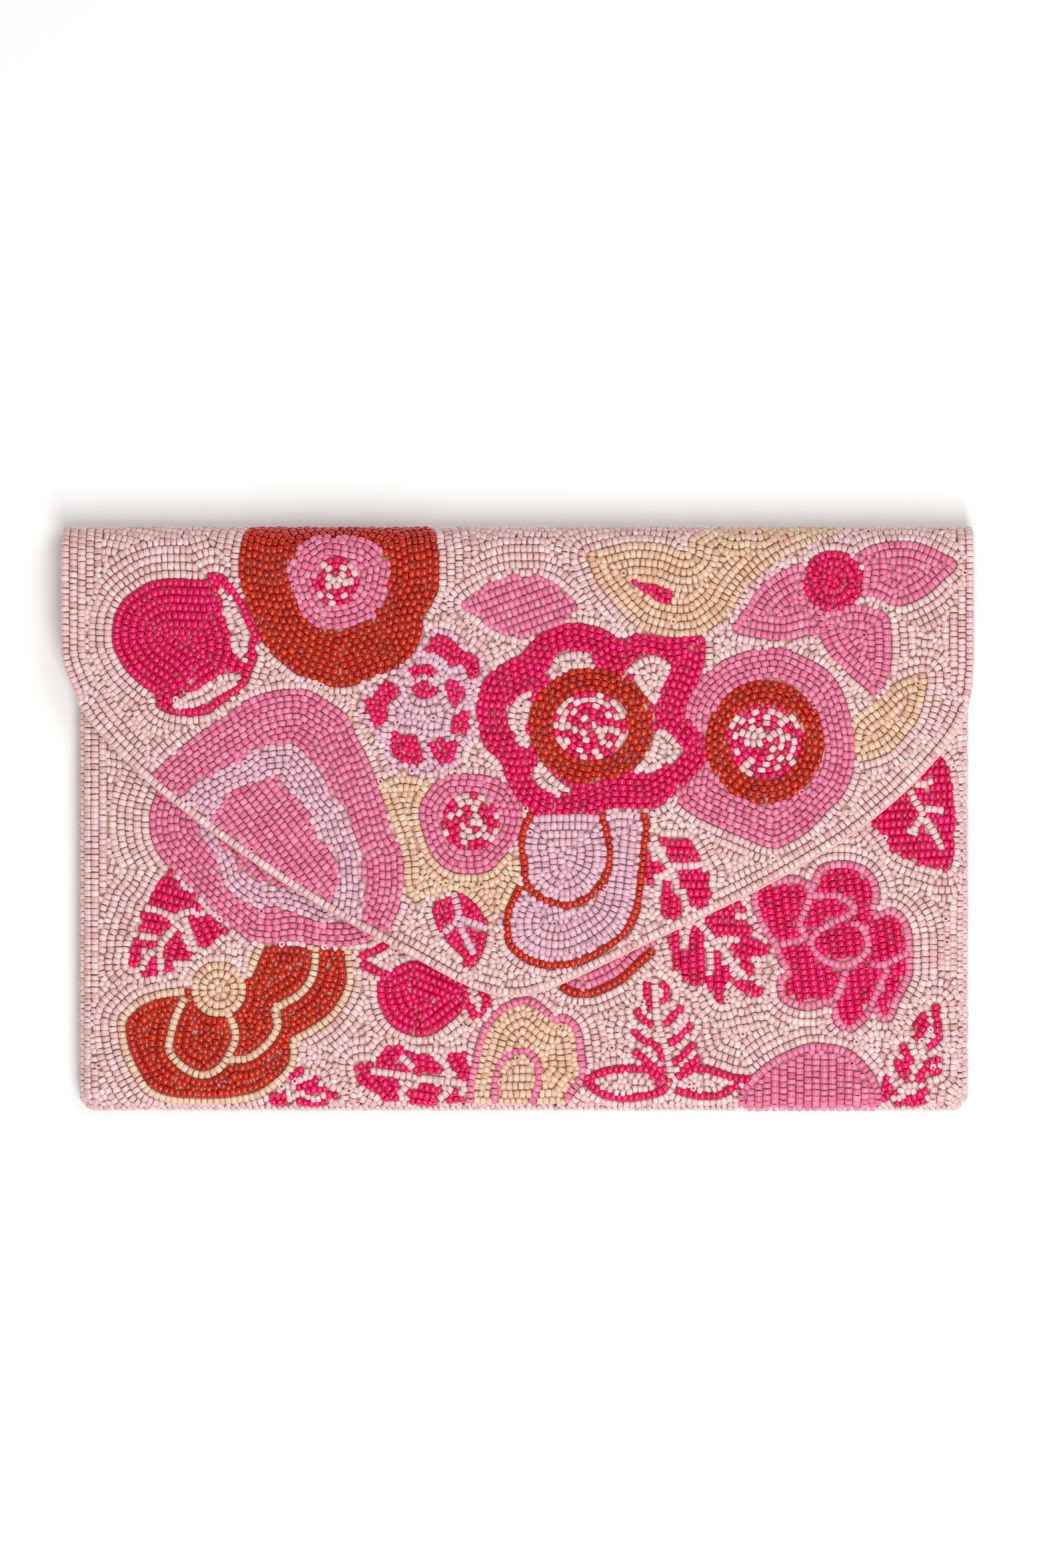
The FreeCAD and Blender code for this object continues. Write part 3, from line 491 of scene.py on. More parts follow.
def curve_through(points, closed, cuts=5):
    """A smooth line through the points, as an array of points close together."""
    p = np.array(points, float)
    n = len(p)
    before = p[np.arange(-1, n - 1)] if closed else np.vstack([2 * p[0] - p[1], p[:-1]])
    after = p[np.arange(1, n + 1) % n] if closed else np.vstack([p[1:], 2 * p[-1] - p[-2]])
    slope = (after - before) / 2
    t = np.linspace(0, 1, cuts, endpoint=False)[:, None]
    pieces = []
    for i in range(n if closed else n - 1):
        j = (i + 1) % n
        a, b = p[i], p[j]
        reach = np.linalg.norm(b - a)
        out_of_a, into_b = [m * min(1, reach / (np.linalg.norm(m) + 1e-9)) for m in (slope[i], slope[j])]
        pieces.append((2 * t**3 - 3 * t**2 + 1) * a + (t**3 - 2 * t**2 + t) * out_of_a
                      + (3 * t**2 - 2 * t**3) * b + (t**3 - t**2) * into_b)
    if not closed:
        pieces.append(p[-1:])
    return np.vstack(pieces)


def ellipse(x, y, rx, ry, count=48):
    t = np.linspace(0, 2 * math.pi, count, endpoint=False)
    return np.column_stack([x + rx * np.cos(t), y + ry * np.sin(t)])


def inside(outline, x, y):
    """Which of the points (x, y) are inside a closed outline."""
    found = np.zeros(x.shape, bool)
    for (ax, ay), (bx, by) in zip(outline, np.roll(outline, -1, axis=0)):
        if ay != by:
            found ^= ((ay > y) != (by > y)) & (x < (bx - ax) * (y - ay) / (by - ay) + ax)
    return found


def distance_to(line, x, y, closed):
    """The distance from each point (x, y) to the nearest place on a line."""
    best = np.full(x.shape, 1e9)
    for i in range(len(line) if closed else len(line) - 1):
        a, b = line[i], line[(i + 1) % len(line)]
        d = b - a
        t = np.clip(((x - a[0]) * d[0] + (y - a[1]) * d[1]) / (d @ d + 1e-12), 0, 1)
        best = np.minimum(best, (x - a[0] - t * d[0]) ** 2 + (y - a[1] - t * d[1]) ** 2)
    return np.sqrt(best)


def walk(line, spacing, start):
    """Points at equal spacing along a line, with the direction of the line at each."""
    d = np.diff(line, axis=0)
    length = np.hypot(d[:, 0], d[:, 1])
    total = length.sum()
    if total < 0.45 * spacing:
        return np.zeros((0, 2)), np.zeros(0)
    along = np.concatenate([[0], np.cumsum(length)])

    def at_length(where):
        return np.column_stack([np.interp(where, along, line[:, k]) for k in (0, 1)])

    count = max(1, int((total - start) / spacing) + 1)
    at = np.minimum(start + spacing * np.arange(count), total)
    ahead, behind = np.minimum(at + TANGENT_REACH, total), np.maximum(at - TANGENT_REACH, 0)
    way = at_length(ahead) - at_length(behind)
    return at_length(at), np.arctan2(way[:, 1], way[:, 0])


def level_lines(field, wanted, level, x0, y0):
    """The lines where field crosses level, traced cell by cell where wanted is true."""
    above = field > level
    code = above[:-1, :-1] * 1 + above[:-1, 1:] * 2 + above[1:, 1:] * 4 + above[1:, :-1] * 8
    keep = wanted[:-1, :-1] | wanted[:-1, 1:] | wanted[1:, 1:] | wanted[1:, :-1]
    width = field.shape[1]
    links, spots = {}, {}

    def crossing(i, j, vertical):
        key = ((i * width + j) << 1) | vertical
        if key not in spots:
            near, far = field[i, j], field[i + vertical, j + 1 - vertical]
            t = (level - near) / (far - near)
            spots[key] = (x0 + CELL * (j + t * (1 - vertical)), y0 + CELL * (i + t * vertical))
        return key

    sides = {"s": (0, 0, 0), "e": (0, 1, 1), "n": (1, 0, 0), "w": (0, 0, 1)}
    crossed = {1: ["sw"], 2: ["se"], 3: ["we"], 4: ["en"], 5: ["sw", "en"], 6: ["sn"], 7: ["wn"],
               8: ["wn"], 9: ["sn"], 10: ["se", "wn"], 11: ["en"], 12: ["we"], 13: ["se"], 14: ["sw"]}
    for i, j in np.argwhere((code > 0) & (code < 15) & keep).tolist():
        for pair in crossed[int(code[i, j])]:
            ends = [crossing(i + up, j + over, vertical) for up, over, vertical in map(sides.get, pair)]
            for here, there in (ends, ends[::-1]):
                links.setdefault(here, []).append(there)
    lines = []
    used = set()
    for start in [k for k, ends in links.items() if len(ends) == 1] + list(links):
        if start in used:
            continue
        chain = [start]
        used.add(start)
        while onward := [k for k in links[chain[-1]] if k not in used]:
            used.add(onward[0])
            chain.append(onward[0])
        if len(chain) > 2:
            if chain[0] in links[chain[-1]]:
                chain.append(chain[0])
            line = np.array([spots[k] for k in chain])
            lines.append(line[::2] if len(line) > 9 else line)
    return lines


def distance_inside(mask, reach):
    """Distance in mm from each cell of mask to the nearest cell outside it, up to reach."""
    far = reach / CELL
    steps = np.where(mask, far, 0.0)
    for view in (steps, steps[:, ::-1]):
        for k in range(1, view.shape[1]):
            view[:, k] = np.minimum(view[:, k], view[:, k - 1] + 1)
    square = steps**2
    best = square.copy()
    for k in range(1, int(far) + 1):
        best[k:] = np.minimum(best[k:], square[:-k] + k * k)
        best[:-k] = np.minimum(best[:-k], square[k:] + k * k)
    return np.maximum(np.sqrt(best) - 0.5, 0) * CELL


def blurred(field, rounds=2):
    """The field with each cell eased towards its four neighbours."""
    for _ in range(rounds):
        padded = np.pad(field, 1, mode="edge")
        field = (padded[1:-1, :-2] + padded[1:-1, 2:] + padded[:-2, 1:-1] + padded[2:, 1:-1]
                 + 4 * padded[1:-1, 1:-1]) / 8
    return field


# ---------- laying beads on a flat pattern ----------

class Pattern:
    """A piece of beadwork laid out flat: which motif each cell belongs to, and every bead."""

    def __init__(self, x0, x1, y0, y1, domain):
        self.x0, self.y0 = x0, y0
        self.cols = int((x1 - x0) / CELL) + 2
        self.rows = int((y1 - y0) / CELL) + 2
        self.gx, self.gy = np.meshgrid(x0 + CELL * np.arange(self.cols), y0 + CELL * np.arange(self.rows))
        self.label = np.where(domain(self.gx, self.gy), 0, -1).astype(np.int16)
        self.colour_of = {0: BLUSH}
        self.beads = []
        self.buckets = {}

    def cell_of(self, x, y, up=0, over=0):
        i = np.round((y - self.y0) / CELL).astype(int) + up
        j = np.round((x - self.x0) / CELL).astype(int) + over
        return np.clip(i, 0, self.rows - 1), np.clip(j, 0, self.cols - 1)

    def label_at(self, x, y):
        return self.label[self.cell_of(x, y)]

    def window(self, outline, margin=3.0):
        """The part of the grid round an outline, as two slices."""
        low, high = outline.min(0) - margin, outline.max(0) + margin
        j0 = max(0, int((low[0] - self.x0) / CELL))
        j1 = min(self.cols, int((high[0] - self.x0) / CELL) + 2)
        i0 = max(0, int((low[1] - self.y0) / CELL))
        i1 = min(self.rows, int((high[1] - self.y0) / CELL) + 2)
        return slice(i0, i1), slice(j0, j1)

    def paint(self, line, number, colour, closed):
        """Gives a motif the inside of its outline, or one string's width along an open line."""
        w = self.window(line)
        x, y = self.gx[w], self.gy[w]
        hit = inside(line, x, y) if closed else distance_to(line, x, y, False) < ROW / 2
        self.label[w][hit & (self.label[w] >= 0)] = number
        self.colour_of[number] = colour

    def keep(self, x, y, angle, tone, stance):
        self.beads.append((x, y, angle, tone, stance))
        self.buckets.setdefault((int(x // BUCKET), int(y // BUCKET)), []).append((x, y, angle))

    def neighbours(self, x, y):
        ci, cj = int(x // BUCKET), int(y // BUCKET)
        return [bead for i in (ci - 1, ci, ci + 1) for j in (cj - 1, cj, cj + 1)
                for bead in self.buckets.get((i, j), ())]

    def clear_of_others(self, x, y, angle, slack):
        def overlaps(dx, dy, turn):
            along = (dx * math.cos(turn) + dy * math.sin(turn)) / NEXT_ALONG
            across = (dy * math.cos(turn) - dx * math.sin(turn)) / NEXT_ACROSS
            return along * along + across * across < slack * slack

        for other_x, other_y, turn in self.neighbours(x, y):
            dx, dy = x - other_x, y - other_y
            if overlaps(dx, dy, turn):
                if overlaps(dx, dy, angle) or dx * dx + dy * dy < CLOSEST * CLOSEST:
                    return False
        return True

    def nearest_angle(self, x, y):
        near = self.neighbours(x, y)
        if not near:
            return RNG.uniform(0, math.pi)
        return min(near, key=lambda bead: (bead[0] - x) ** 2 + (bead[1] - y) ** 2)[2]

    def add(self, points, angles, number, tones=None, slack=0.86, turned=False):
        """A bead at each point that is in the motif and clear of the beads already there."""
        if len(points) == 0:
            return
        found = self.label_at(points[:, 0], points[:, 1])
        for k in np.nonzero(found == number)[0]:
            x, y = points[k]
            angle = angles[k] + (math.pi / 2 if turned else 0)
            if self.clear_of_others(x, y, angle, slack):
                self.keep(x, y, angle, self.colour_of[number] if tones is None else tones[k], LIES)

    def follow(self, field, w, number, limit=60.0, turned=False):
        """Strings of beads along the lines of equal field. Turned beads point across those lines."""
        wanted = self.label[w] == number
        if not wanted.any():
            return
        pitch, spacing = (STEP, ROW) if turned else (ROW, STEP)
        top = min(min(limit, field[wanted].max()) + pitch / 2, field.max())
        x0, y0 = self.gx[w][0, 0], self.gy[w][0, 0]
        level = pitch / 2
        while level < top:
            for line in level_lines(field, wanted, level, x0, y0):
                points, angles = walk(line, spacing, RNG.uniform(0.1, 0.9) * spacing)
                self.add(points, angles, number, turned=turned)
            level += pitch

    def single_string(self, line, number):
        points, angles = walk(line, STEP, 0.2)
        self.add(points, angles, number, slack=0.7)

    def circles(self, outline, centre, number, mixed):
        """Rings of beads from the outline in to the centre. A mixed core has its beads turned to
        point outwards, and two colours by chance."""
        half = np.ptp(outline, axis=0) / 2
        pitch, spacing = (STEP, ROW * 0.95) if mixed else (ROW, STEP)
        radius = half.max() - pitch / 2
        while radius > 0.5:
            count = max(1, int(2 * math.pi * radius / spacing))
            t = np.arange(count) * 2 * math.pi / count + RNG.uniform(0, 1)
            round_it = np.column_stack([np.cos(t), np.sin(t)])
            where = np.array(centre) + radius / half.max() * half * round_it
            alternate = (np.arange(count) % 2 == 0) ^ (RNG.random(count) < 0.2)
            tones = np.where(alternate, IVORY, HOT) if mixed else None
            self.add(where, t + math.pi / 2, number, tones, turned=mixed)
            radius -= pitch
        self.add(np.array([centre], float), np.zeros(1), number, slack=0.6)

    def straight_rows(self, outline, degrees, number):
        """Straight strings at one angle."""
        angle = math.radians(degrees)
        direction = np.array([math.cos(angle), math.sin(angle)])
        normal = np.array([-direction[1], direction[0]])
        middle = outline.mean(0)
        reach = np.abs(outline - middle).sum(1).max()
        for k in np.arange(-reach, reach, ROW):
            at = np.arange(-reach, reach, STEP) + RNG.uniform(0, STEP)
            points = middle + normal * k + at[:, None] * direction
            self.add(points, np.full(len(at), angle), number)

    def fill_gaps(self):
        """Smaller beads, and a few that stand on end, wherever one more fits."""
        taken = np.zeros(self.label.shape, bool)
        bead_x, bead_y = np.array(self.beads)[:, :2].T
        reach = int(FILL_REACH / CELL) + 1
        for up in range(-reach, reach + 1):
            for over in range(-reach, reach + 1):
                if math.hypot(up, over) * CELL <= FILL_REACH:
                    taken[self.cell_of(bead_x, bead_y, up, over)] = True
        free = np.argwhere(~taken & (self.label >= 0))
        sides = RIM_MARGIN * np.array([(-1, 0), (1, 0), (0, -1), (0, 1)])
        for k in RNG.permutation(len(free)):
            cell = tuple(free[k])
            x, y = self.gx[cell], self.gy[cell]
            if (self.label_at(x + sides[:, 0], y + sides[:, 1]) < 0).any():
                continue
            angle = self.nearest_angle(x, y)
            if self.clear_of_others(x, y, angle, 0.76):
                stance = STANDS if RNG.random() < 0.04 else SMALL
                self.keep(x, y, angle, self.colour_of[int(self.label[cell])], stance)


def lay_out(pattern, motifs, strings, to_flat):
    """Paints every motif and single string, then lays the beads, the single strings' first."""
    shapes = []
    for colour, style, *outlines in motifs:
        for points in outlines:
            if len(points) == 1:
                outline = to_flat(ellipse(*points[0]))
            else:
                outline = curve_through(to_flat(points), True)
            shapes.append((style, outline, points[0][:2]))
            pattern.paint(outline, len(shapes), colour, True)
    for colour, *lines in strings:
        for points in lines:
            line = curve_through(to_flat(points), False)
            shapes.append(("string", line, None))
            pattern.paint(line, len(shapes), colour, False)
    for number, (style, line, _) in enumerate(shapes, start=1):
        if style == "string":
            pattern.single_string(line, number)
    for number, (style, outline, centre) in enumerate(shapes, start=1):
        w = pattern.window(outline)
        mask = pattern.label[w] == number
        if style == "string" or not mask.any():
            continue
        if style in ("rings", "spokes"):
            field = distance_to(outline, pattern.gx[w], pattern.gy[w], True)
            pattern.follow(field, w, number, turned=style == "spokes")
        elif style == "edge":
            pattern.follow(blurred(distance_inside(mask, 14.0), 1), w, number)
        elif style in ("circles", "mixed"):
            pattern.circles(outline, centre, number, style == "mixed")
        else:
            pattern.straight_rows(outline, float(style.split()[1]), number)


def lay_background(pattern):
    """Strings that follow the motifs and the rims, and swaying strings across what is left."""
    everywhere = (slice(0, pattern.rows), slice(0, pattern.cols))
    near = distance_inside(pattern.label == 0, PLAIN_REACH + 0.2)
    middle = near > PLAIN_REACH
    pattern.follow(blurred(near), everywhere, 0, limit=PLAIN_REACH)
    sway = pattern.gy + 2.6 * np.sin(pattern.gx / 17) + 1.2 * np.sin(pattern.gx / 7.3 + 1)
    pattern.label[middle] = PLAIN
    pattern.colour_of[PLAIN] = BLUSH
    pattern.follow(sway - sway.min() + 1, everywhere, PLAIN, limit=400)
    pattern.fill_gaps()


# ---------- the surfaces the beads are sewn to ----------

def unroll_fold(points):
    """Heights seen from above, as lengths along the cloth that rolls over at the fold."""
    out = np.array(points, float)
    y = out[:, 1]
    over = (y > FOLD_Y) & (y < FOLD_SEEN_TO)
    out[over, 1] = FOLD_Y + FOLD_ROLL_R * np.arcsin((y[over] - FOLD_Y) / FOLD_REACH)
    return out


def unroll_sides(points):
    """Places seen from above, as lengths along the cloth that wraps the pocket's sides and bottom."""
    out = np.array(points, float)
    for axis, edge, sign in ((0, FLAT_LEFT, -1), (0, FLAT_RIGHT, 1), (1, FLAT_BOTTOM, -1)):
        past = sign * (out[:, axis] - edge)
        over = past > 0
        turn = np.arcsin(np.clip(past[over] / SEAM_Z, 0, 1))
        out[over, axis] = edge + sign * BEAD_ROLL_R * turn
    return out


def flap_frame(u, s, radius=FOLD_CLOTH_R):
    """Point, direction across, direction up the cloth and normal on the flap, fold and back top."""
    turn = np.clip((s - FOLD_Y) / FOLD_ROLL_R, 0, math.pi)
    y = FOLD_Y + radius * np.sin(turn) + np.minimum(s - FOLD_Y, 0) - np.maximum(s - FOLD_END, 0)
    z = FOLD_Z + radius * np.cos(turn)
    zero, one = np.zeros_like(u), np.ones_like(u)
    point = np.column_stack([u, y, z])
    across = np.column_stack([one, zero, zero])
    up = np.column_stack([zero, np.cos(turn), -np.sin(turn)])
    normal = np.column_stack([zero, np.sin(turn), np.cos(turn)])
    return point, across, up, normal


def side_turn(value, low, high, radius):
    """Where a length along the wrapped cloth lies: position, height above the seam, and turn."""
    past = np.maximum(low - value, 0) - np.maximum(value - high, 0)
    turn = np.clip(np.abs(past) / BEAD_ROLL_R, 0, math.pi / 2)
    sign = -np.sign(past)
    flat = np.clip(value, low, high)
    return flat + sign * radius * np.sin(turn), radius * np.cos(turn), turn, sign


def pocket_frame(u, v, radius=SEAM_Z - BEAD_HEIGHT, front=True):
    """Point, direction across, direction up the cloth and normal on the front or back panel."""
    x, rise_x, turn_x, sign_x = side_turn(u, FLAT_LEFT, FLAT_RIGHT, radius)
    y, rise_y, turn_y, sign_y = side_turn(v, FLAT_BOTTOM, 1e6, radius)
    out_x, out_y = radius * np.sin(turn_x), radius * np.sin(turn_y)
    pull = 1 - np.maximum(out_x, out_y) / np.maximum(np.cbrt(out_x**3 + out_y**3), 1e-9)
    corner = (out_x > 0) & (out_y > 0)
    x = x - np.where(corner, sign_x * out_x * pull, 0)
    y = y - np.where(corner, sign_y * out_y * pull, 0)
    face = 1 if front else -1
    steeper = turn_x >= turn_y
    rise = np.minimum(rise_x, rise_y)
    point = np.column_stack([x, y, SEAM_Z + face * rise])
    zero = np.zeros_like(u)
    one = np.ones_like(u)
    nx = np.where(steeper, sign_x * np.sin(turn_x), 0)
    ny = np.where(steeper, 0, sign_y * np.sin(turn_y))
    nz = np.where(steeper, np.cos(turn_x), np.cos(turn_y))
    normal = np.column_stack([nx, ny, face * nz])
    across = np.where(steeper[:, None],
                      np.column_stack([np.cos(turn_x), zero, -face * sign_x * np.sin(turn_x)]),
                      np.column_stack([one, zero, zero]))
    up = np.where(steeper[:, None],
                  np.column_stack([zero, one, zero]),
                  np.column_stack([zero, np.cos(turn_y), -face * sign_y * np.sin(turn_y)]))
    return point, across, up, normal


# ---------- bead meshes ----------

AROUND = 8
PROFILE = [(-0.97, 0.38), (-0.94, 0.8), (-0.52, 0.99), (0.52, 0.99), (0.94, 0.8), (0.97, 0.38)]


def bead_shape():
    """One bead along X: a rounded barrel with a hole through it. Vertices, faces and a flat chart."""
    ring = np.arange(AROUND) * 2 * math.pi / AROUND
    verts = []
    for a, r in PROFILE:
        for t in ring:
            full = r * (1 + 0.08 * math.sin(2 * t) ** 2)
            verts.append((a, full * math.cos(t), full * math.sin(t)))
    faces, chart = [], []
    rings = len(PROFILE)
    for k in range(rings):
        nxt = (k + 1) % rings
        for i in range(AROUND):
            j = (i + 1) % AROUND
            faces.append((k * AROUND + i, k * AROUND + j, nxt * AROUND + j, nxt * AROUND + i))
            u0, u1 = i / AROUND, (i + 1) / AROUND
            v0, v1 = k / rings, (k + 1) / rings
            chart.append([(u0, v0), (u1, v0), (u1, v1), (u0, v1)])
    return np.array(verts), np.array(faces)[:, ::-1], np.array(chart)[:, ::-1]


BEAD_VERTS, BEAD_FACES, BEAD_CHART = bead_shape()
TILES = 8


def mesh_from(name, verts, faces, smooth=True):
    """A mesh from vertices in mm and faces that all have the same number of corners."""
    mesh = bpy.data.meshes.new(name)
    count, corners = faces.shape
    mesh.vertices.add(len(verts))
    mesh.vertices.foreach_set("co", (verts * MM).astype(np.float32).ravel())
    mesh.loops.add(count * corners)
    mesh.loops.foreach_set("vertex_index", faces.astype(np.int32).ravel())
    mesh.polygons.add(count)
    mesh.polygons.foreach_set("loop_start", np.arange(0, count * corners, corners, dtype=np.int32))
    mesh.polygons.foreach_set("use_smooth", np.full(count, smooth))
    mesh.update(calc_edges=True)
    obj = bpy.data.objects.new(name, mesh)
    bpy.context.scene.collection.objects.link(obj)
    return obj


def bead_piece(name, beads, surface, small=1.0):
    """One mesh of many beads. surface gives the frame of the cloth at each bead."""
    u, v = beads[:, 0], beads[:, 1]
    point, across, up, normal = surface(u, v)
    count = len(beads)
    angle = beads[:, 2] + RNG.normal(0, TURN_SPREAD, count)
    stands = beads[:, 4] == STANDS
    small = np.where(beads[:, 4] == SMALL, SMALL_BEAD_SIZE, 1.0) * small
    axis = np.cos(angle)[:, None] * across + np.sin(angle)[:, None] * up
    side = np.cross(normal, axis)
    tilt = RNG.normal(0, TILT_SPREAD, count)[:, None]
    axis = axis + tilt * normal
    axis[stands] = normal[stands] + 0.25 * side[stands]
    axis /= np.linalg.norm(axis, axis=1)[:, None]
    side /= np.linalg.norm(side, axis=1)[:, None]
    third = np.cross(axis, side)
    third /= np.linalg.norm(third, axis=1)[:, None]
    side = np.cross(third, axis)
    size = small * np.clip(1 + RNG.normal(0, SIZE_SPREAD, count), 0.93, 1.05)
    half = BEAD_HALF * small * np.clip(1 + RNG.normal(0, LENGTH_SPREAD, count), 0.82, 1.14)
    lift = np.where(stands, half, BEAD_RISE * size) + RNG.uniform(-0.12, 0.0, count)
    centre = point + lift[:, None] * normal
    verts = centre[:, None, :]
    for k, (reach, way) in enumerate(((half, axis), (BEAD_R * size, side), (BEAD_RISE * size, third))):
        verts = verts + (BEAD_VERTS[None, :, k:k + 1] * reach[:, None, None]) * way[:, None, :]
    faces = BEAD_FACES[None] + (np.arange(count) * len(BEAD_VERTS))[:, None, None]
    obj = mesh_from(name, verts.reshape(-1, 3), faces.reshape(-1, 4))
    tone = beads[:, 3].astype(int)
    shade = np.clip(RNG.normal(4.0, 1.2, count), 0, 7).astype(int)
    add_bead_shades(obj, tone, shade, count)
    present = sorted(set(tone.tolist()))
    for k in present:
        obj.data.materials.append(MATERIALS["beads_" + COLOURS[k]])
    slots = np.array([present.index(t) for t in tone])
    obj.data.polygons.foreach_set("material_index", np.repeat(slots, len(BEAD_FACES)).astype(np.int32))
    "beads_" + COLOURS[int(np.bincount(tone).argmax())]
    return obj


def add_bead_shades(obj, tone, shade, count):
    """Each bead's shade, as an attribute, and a chart tile that is shared by beads of one shade."""
    level = obj.data.attributes.new("shade", "FLOAT", "POINT")
    values = np.repeat((shade + 0.5) / TILES, len(BEAD_VERTS))
    level.data.foreach_set("value", values.astype(np.float32))
    layer = obj.data.uv_layers.new(name="OFBake")
    corner = np.column_stack([tone, shade])[:, None, None, :] / TILES
    chart = corner + (0.1 + 0.8 * BEAD_CHART[None]) / TILES
    layer.data.foreach_set("uv", chart.astype(np.float32).ravel())


def split_beads(prefix, beads, surface, body, replaced, blend=None):
    """Bead pieces of one panel, one per colour, and more where a colour has many beads."""
    made = []
    groups = [np.unique(beads[:, 3])] if blend else [[k] for k in np.unique(beads[:, 3])]
    for group in groups:
        chosen = beads[np.isin(beads[:, 3], group)]
        chosen = chosen[np.argsort(chosen[:, 0])]
        parts = math.ceil(len(chosen) / MAX_BEADS)
        for n, part in enumerate(np.array_split(chosen, parts), start=1):
            name = prefix + ("_beads" if blend else "_beads_" + COLOURS[int(group[0])])
            if parts > 1:
                name += "_" + str(n)
            obj = bead_piece(name, part, surface)
            if blend:
                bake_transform(obj)
            else:
                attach(obj, body)
            made.append(obj)
    for node in replaced:
        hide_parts(node)
    return made


# ---------- materials ----------

def new_material(name):
    material = bpy.data.materials.new(name)
    material.use_nodes = True
    tree = material.node_tree
    return material, tree, tree.nodes["Principled BSDF"]


def noise(tree, scale, detail=2.0, coordinates="Object", stretch=(1, 1, 1)):
    """A soft noise texture, as a value from 0 to 1."""
    place = tree.nodes.new("ShaderNodeTexCoord")
    mapping = tree.nodes.new("ShaderNodeMapping")
    mapping.inputs["Scale"].default_value = stretch
    texture = tree.nodes.new("ShaderNodeTexNoise")
    texture.inputs["Scale"].default_value = scale
    texture.inputs["Detail"].default_value = detail
    tree.links.new(place.outputs[coordinates], mapping.inputs["Vector"])
    tree.links.new(mapping.outputs["Vector"], texture.inputs["Vector"])
    return texture.outputs["Fac"]


def ramp(tree, source, stops):
    """A colour that goes through the stops as the source rises."""
    node = tree.nodes.new("ShaderNodeValToRGB")
    elements = node.color_ramp.elements
    while len(elements) < len(stops):
        elements.new(0.5)
    for element, (position, colour) in zip(elements, stops):
        element.position = position
        element.color = (*colour, 1)
    tree.links.new(source, node.inputs["Fac"])
    return node.outputs["Color"]


def spread(tree, source, low, high, from_low=0.3, from_high=0.7):
    """The source stretched to run from low to high."""
    node = tree.nodes.new("ShaderNodeMapRange")
    node.inputs["From Min"].default_value = from_low
    node.inputs["From Max"].default_value = from_high
    node.inputs["To Min"].default_value = low
    node.inputs["To Max"].default_value = high
    tree.links.new(source, node.inputs["Value"])
    return node.outputs["Result"]


def multiply(tree, a, b, factor=1.0):
    node = tree.nodes.new("ShaderNodeMix")
    node.data_type = "RGBA"
    node.blend_type = "MULTIPLY"
    node.inputs["Factor"].default_value = factor
    tree.links.new(a, node.inputs["A"])
    tree.links.new(b, node.inputs["B"])
    return node.outputs["Result"]


def srgb(*values):
    """A colour as seen, 0 to 255 each, as the linear values that a shader takes."""
    out = []
    for v in values:
        c = v / 255
        out.append(c / 12.92 if c <= 0.04045 else ((c + 0.055) / 1.055) ** 2.4)
    return tuple(out)


def add_bump(tree, shader, height, strength, depth):
    bump = tree.nodes.new("ShaderNodeBump")
    bump.inputs["Strength"].default_value = strength
    bump.inputs["Distance"].default_value = depth * MM
    tree.links.new(height, bump.inputs["Height"])
    tree.links.new(bump.outputs["Normal"], shader.inputs["Normal"])


def bead_material(name, dark, middle, light, gloss):
    material, tree, shader = new_material(name)
    level = tree.nodes.new("ShaderNodeAttribute")
    level.attribute_name = "shade"
    stops = [(0.05, srgb(*dark)), (0.5, srgb(*middle)), (0.95, srgb(*light))]
    colour = ramp(tree, level.outputs["Fac"], stops)
    # Painted sheen: a fine noise darkens the colour a little in patches, for the uneven lustre of the pearly
    # glass.
    painted_lustre = ramp(tree, noise(tree, 1500), [(0.3, (0.9, 0.9, 0.9)), (0.7, (1, 1, 1))])
    tree.links.new(multiply(tree, colour, painted_lustre), shader.inputs["Base Color"])
    tree.links.new(spread(tree, noise(tree, 900), gloss, gloss + 0.12), shader.inputs["Roughness"])
    add_bump(tree, shader, noise(tree, 700), 0.3, 0.12)
    shader.inputs["Subsurface Weight"].default_value = 0.5
    shader.inputs["Subsurface Radius"].default_value = (1.0, 0.8, 0.8)
    shader.inputs["Subsurface Scale"].default_value = 0.6 * MM
    shader.inputs["Coat Weight"].default_value = 0.3
    shader.inputs["Coat Roughness"].default_value = 0.08
    shader.inputs["Specular IOR Level"].default_value = 0.35
    return material


def cloth_material(name, dark, light, thread, sheen):
    """A satin-faced weave: fine threads both ways, with a soft lengthwise sheen, and painted shade in the
    hollows between the threads.
    """
    material, tree, shader = new_material(name)
    place = tree.nodes.new("ShaderNodeTexCoord")
    heights = []
    for axis in ("X", "Y"):
        wave = tree.nodes.new("ShaderNodeTexWave")
        wave.bands_direction = axis
        wave.inputs["Scale"].default_value = 1 / (thread * MM) / 6.3
        wave.inputs["Distortion"].default_value = 1.2
        wave.inputs["Detail"].default_value = 1.0
        tree.links.new(place.outputs["Object"], wave.inputs["Vector"])
        heights.append(wave.outputs["Fac"])
    both = tree.nodes.new("ShaderNodeMath")
    both.operation = "MULTIPLY"
    tree.links.new(heights[0], both.inputs[0])
    tree.links.new(heights[1], both.inputs[1])
    add_bump(tree, shader, both.outputs["Value"], 0.35, 0.05)
    tint = ramp(tree, noise(tree, 90, 4.0, stretch=(1, 3, 3)), [(0.3, dark), (0.7, light)])
    # Painted shade: the colour darkens where the weave's height is low, in the hollows between the threads.
    weave_shade = ramp(tree, both.outputs["Value"], [(0.0, (0.82, 0.8, 0.8)), (0.6, (1, 1, 1))])
    tree.links.new(multiply(tree, tint, weave_shade), shader.inputs["Base Color"])
    tree.links.new(spread(tree, noise(tree, 140), 0.42, 0.6), shader.inputs["Roughness"])
    shader.inputs["Sheen Weight"].default_value = sheen
    shader.inputs["Sheen Roughness"].default_value = 0.4
    return material


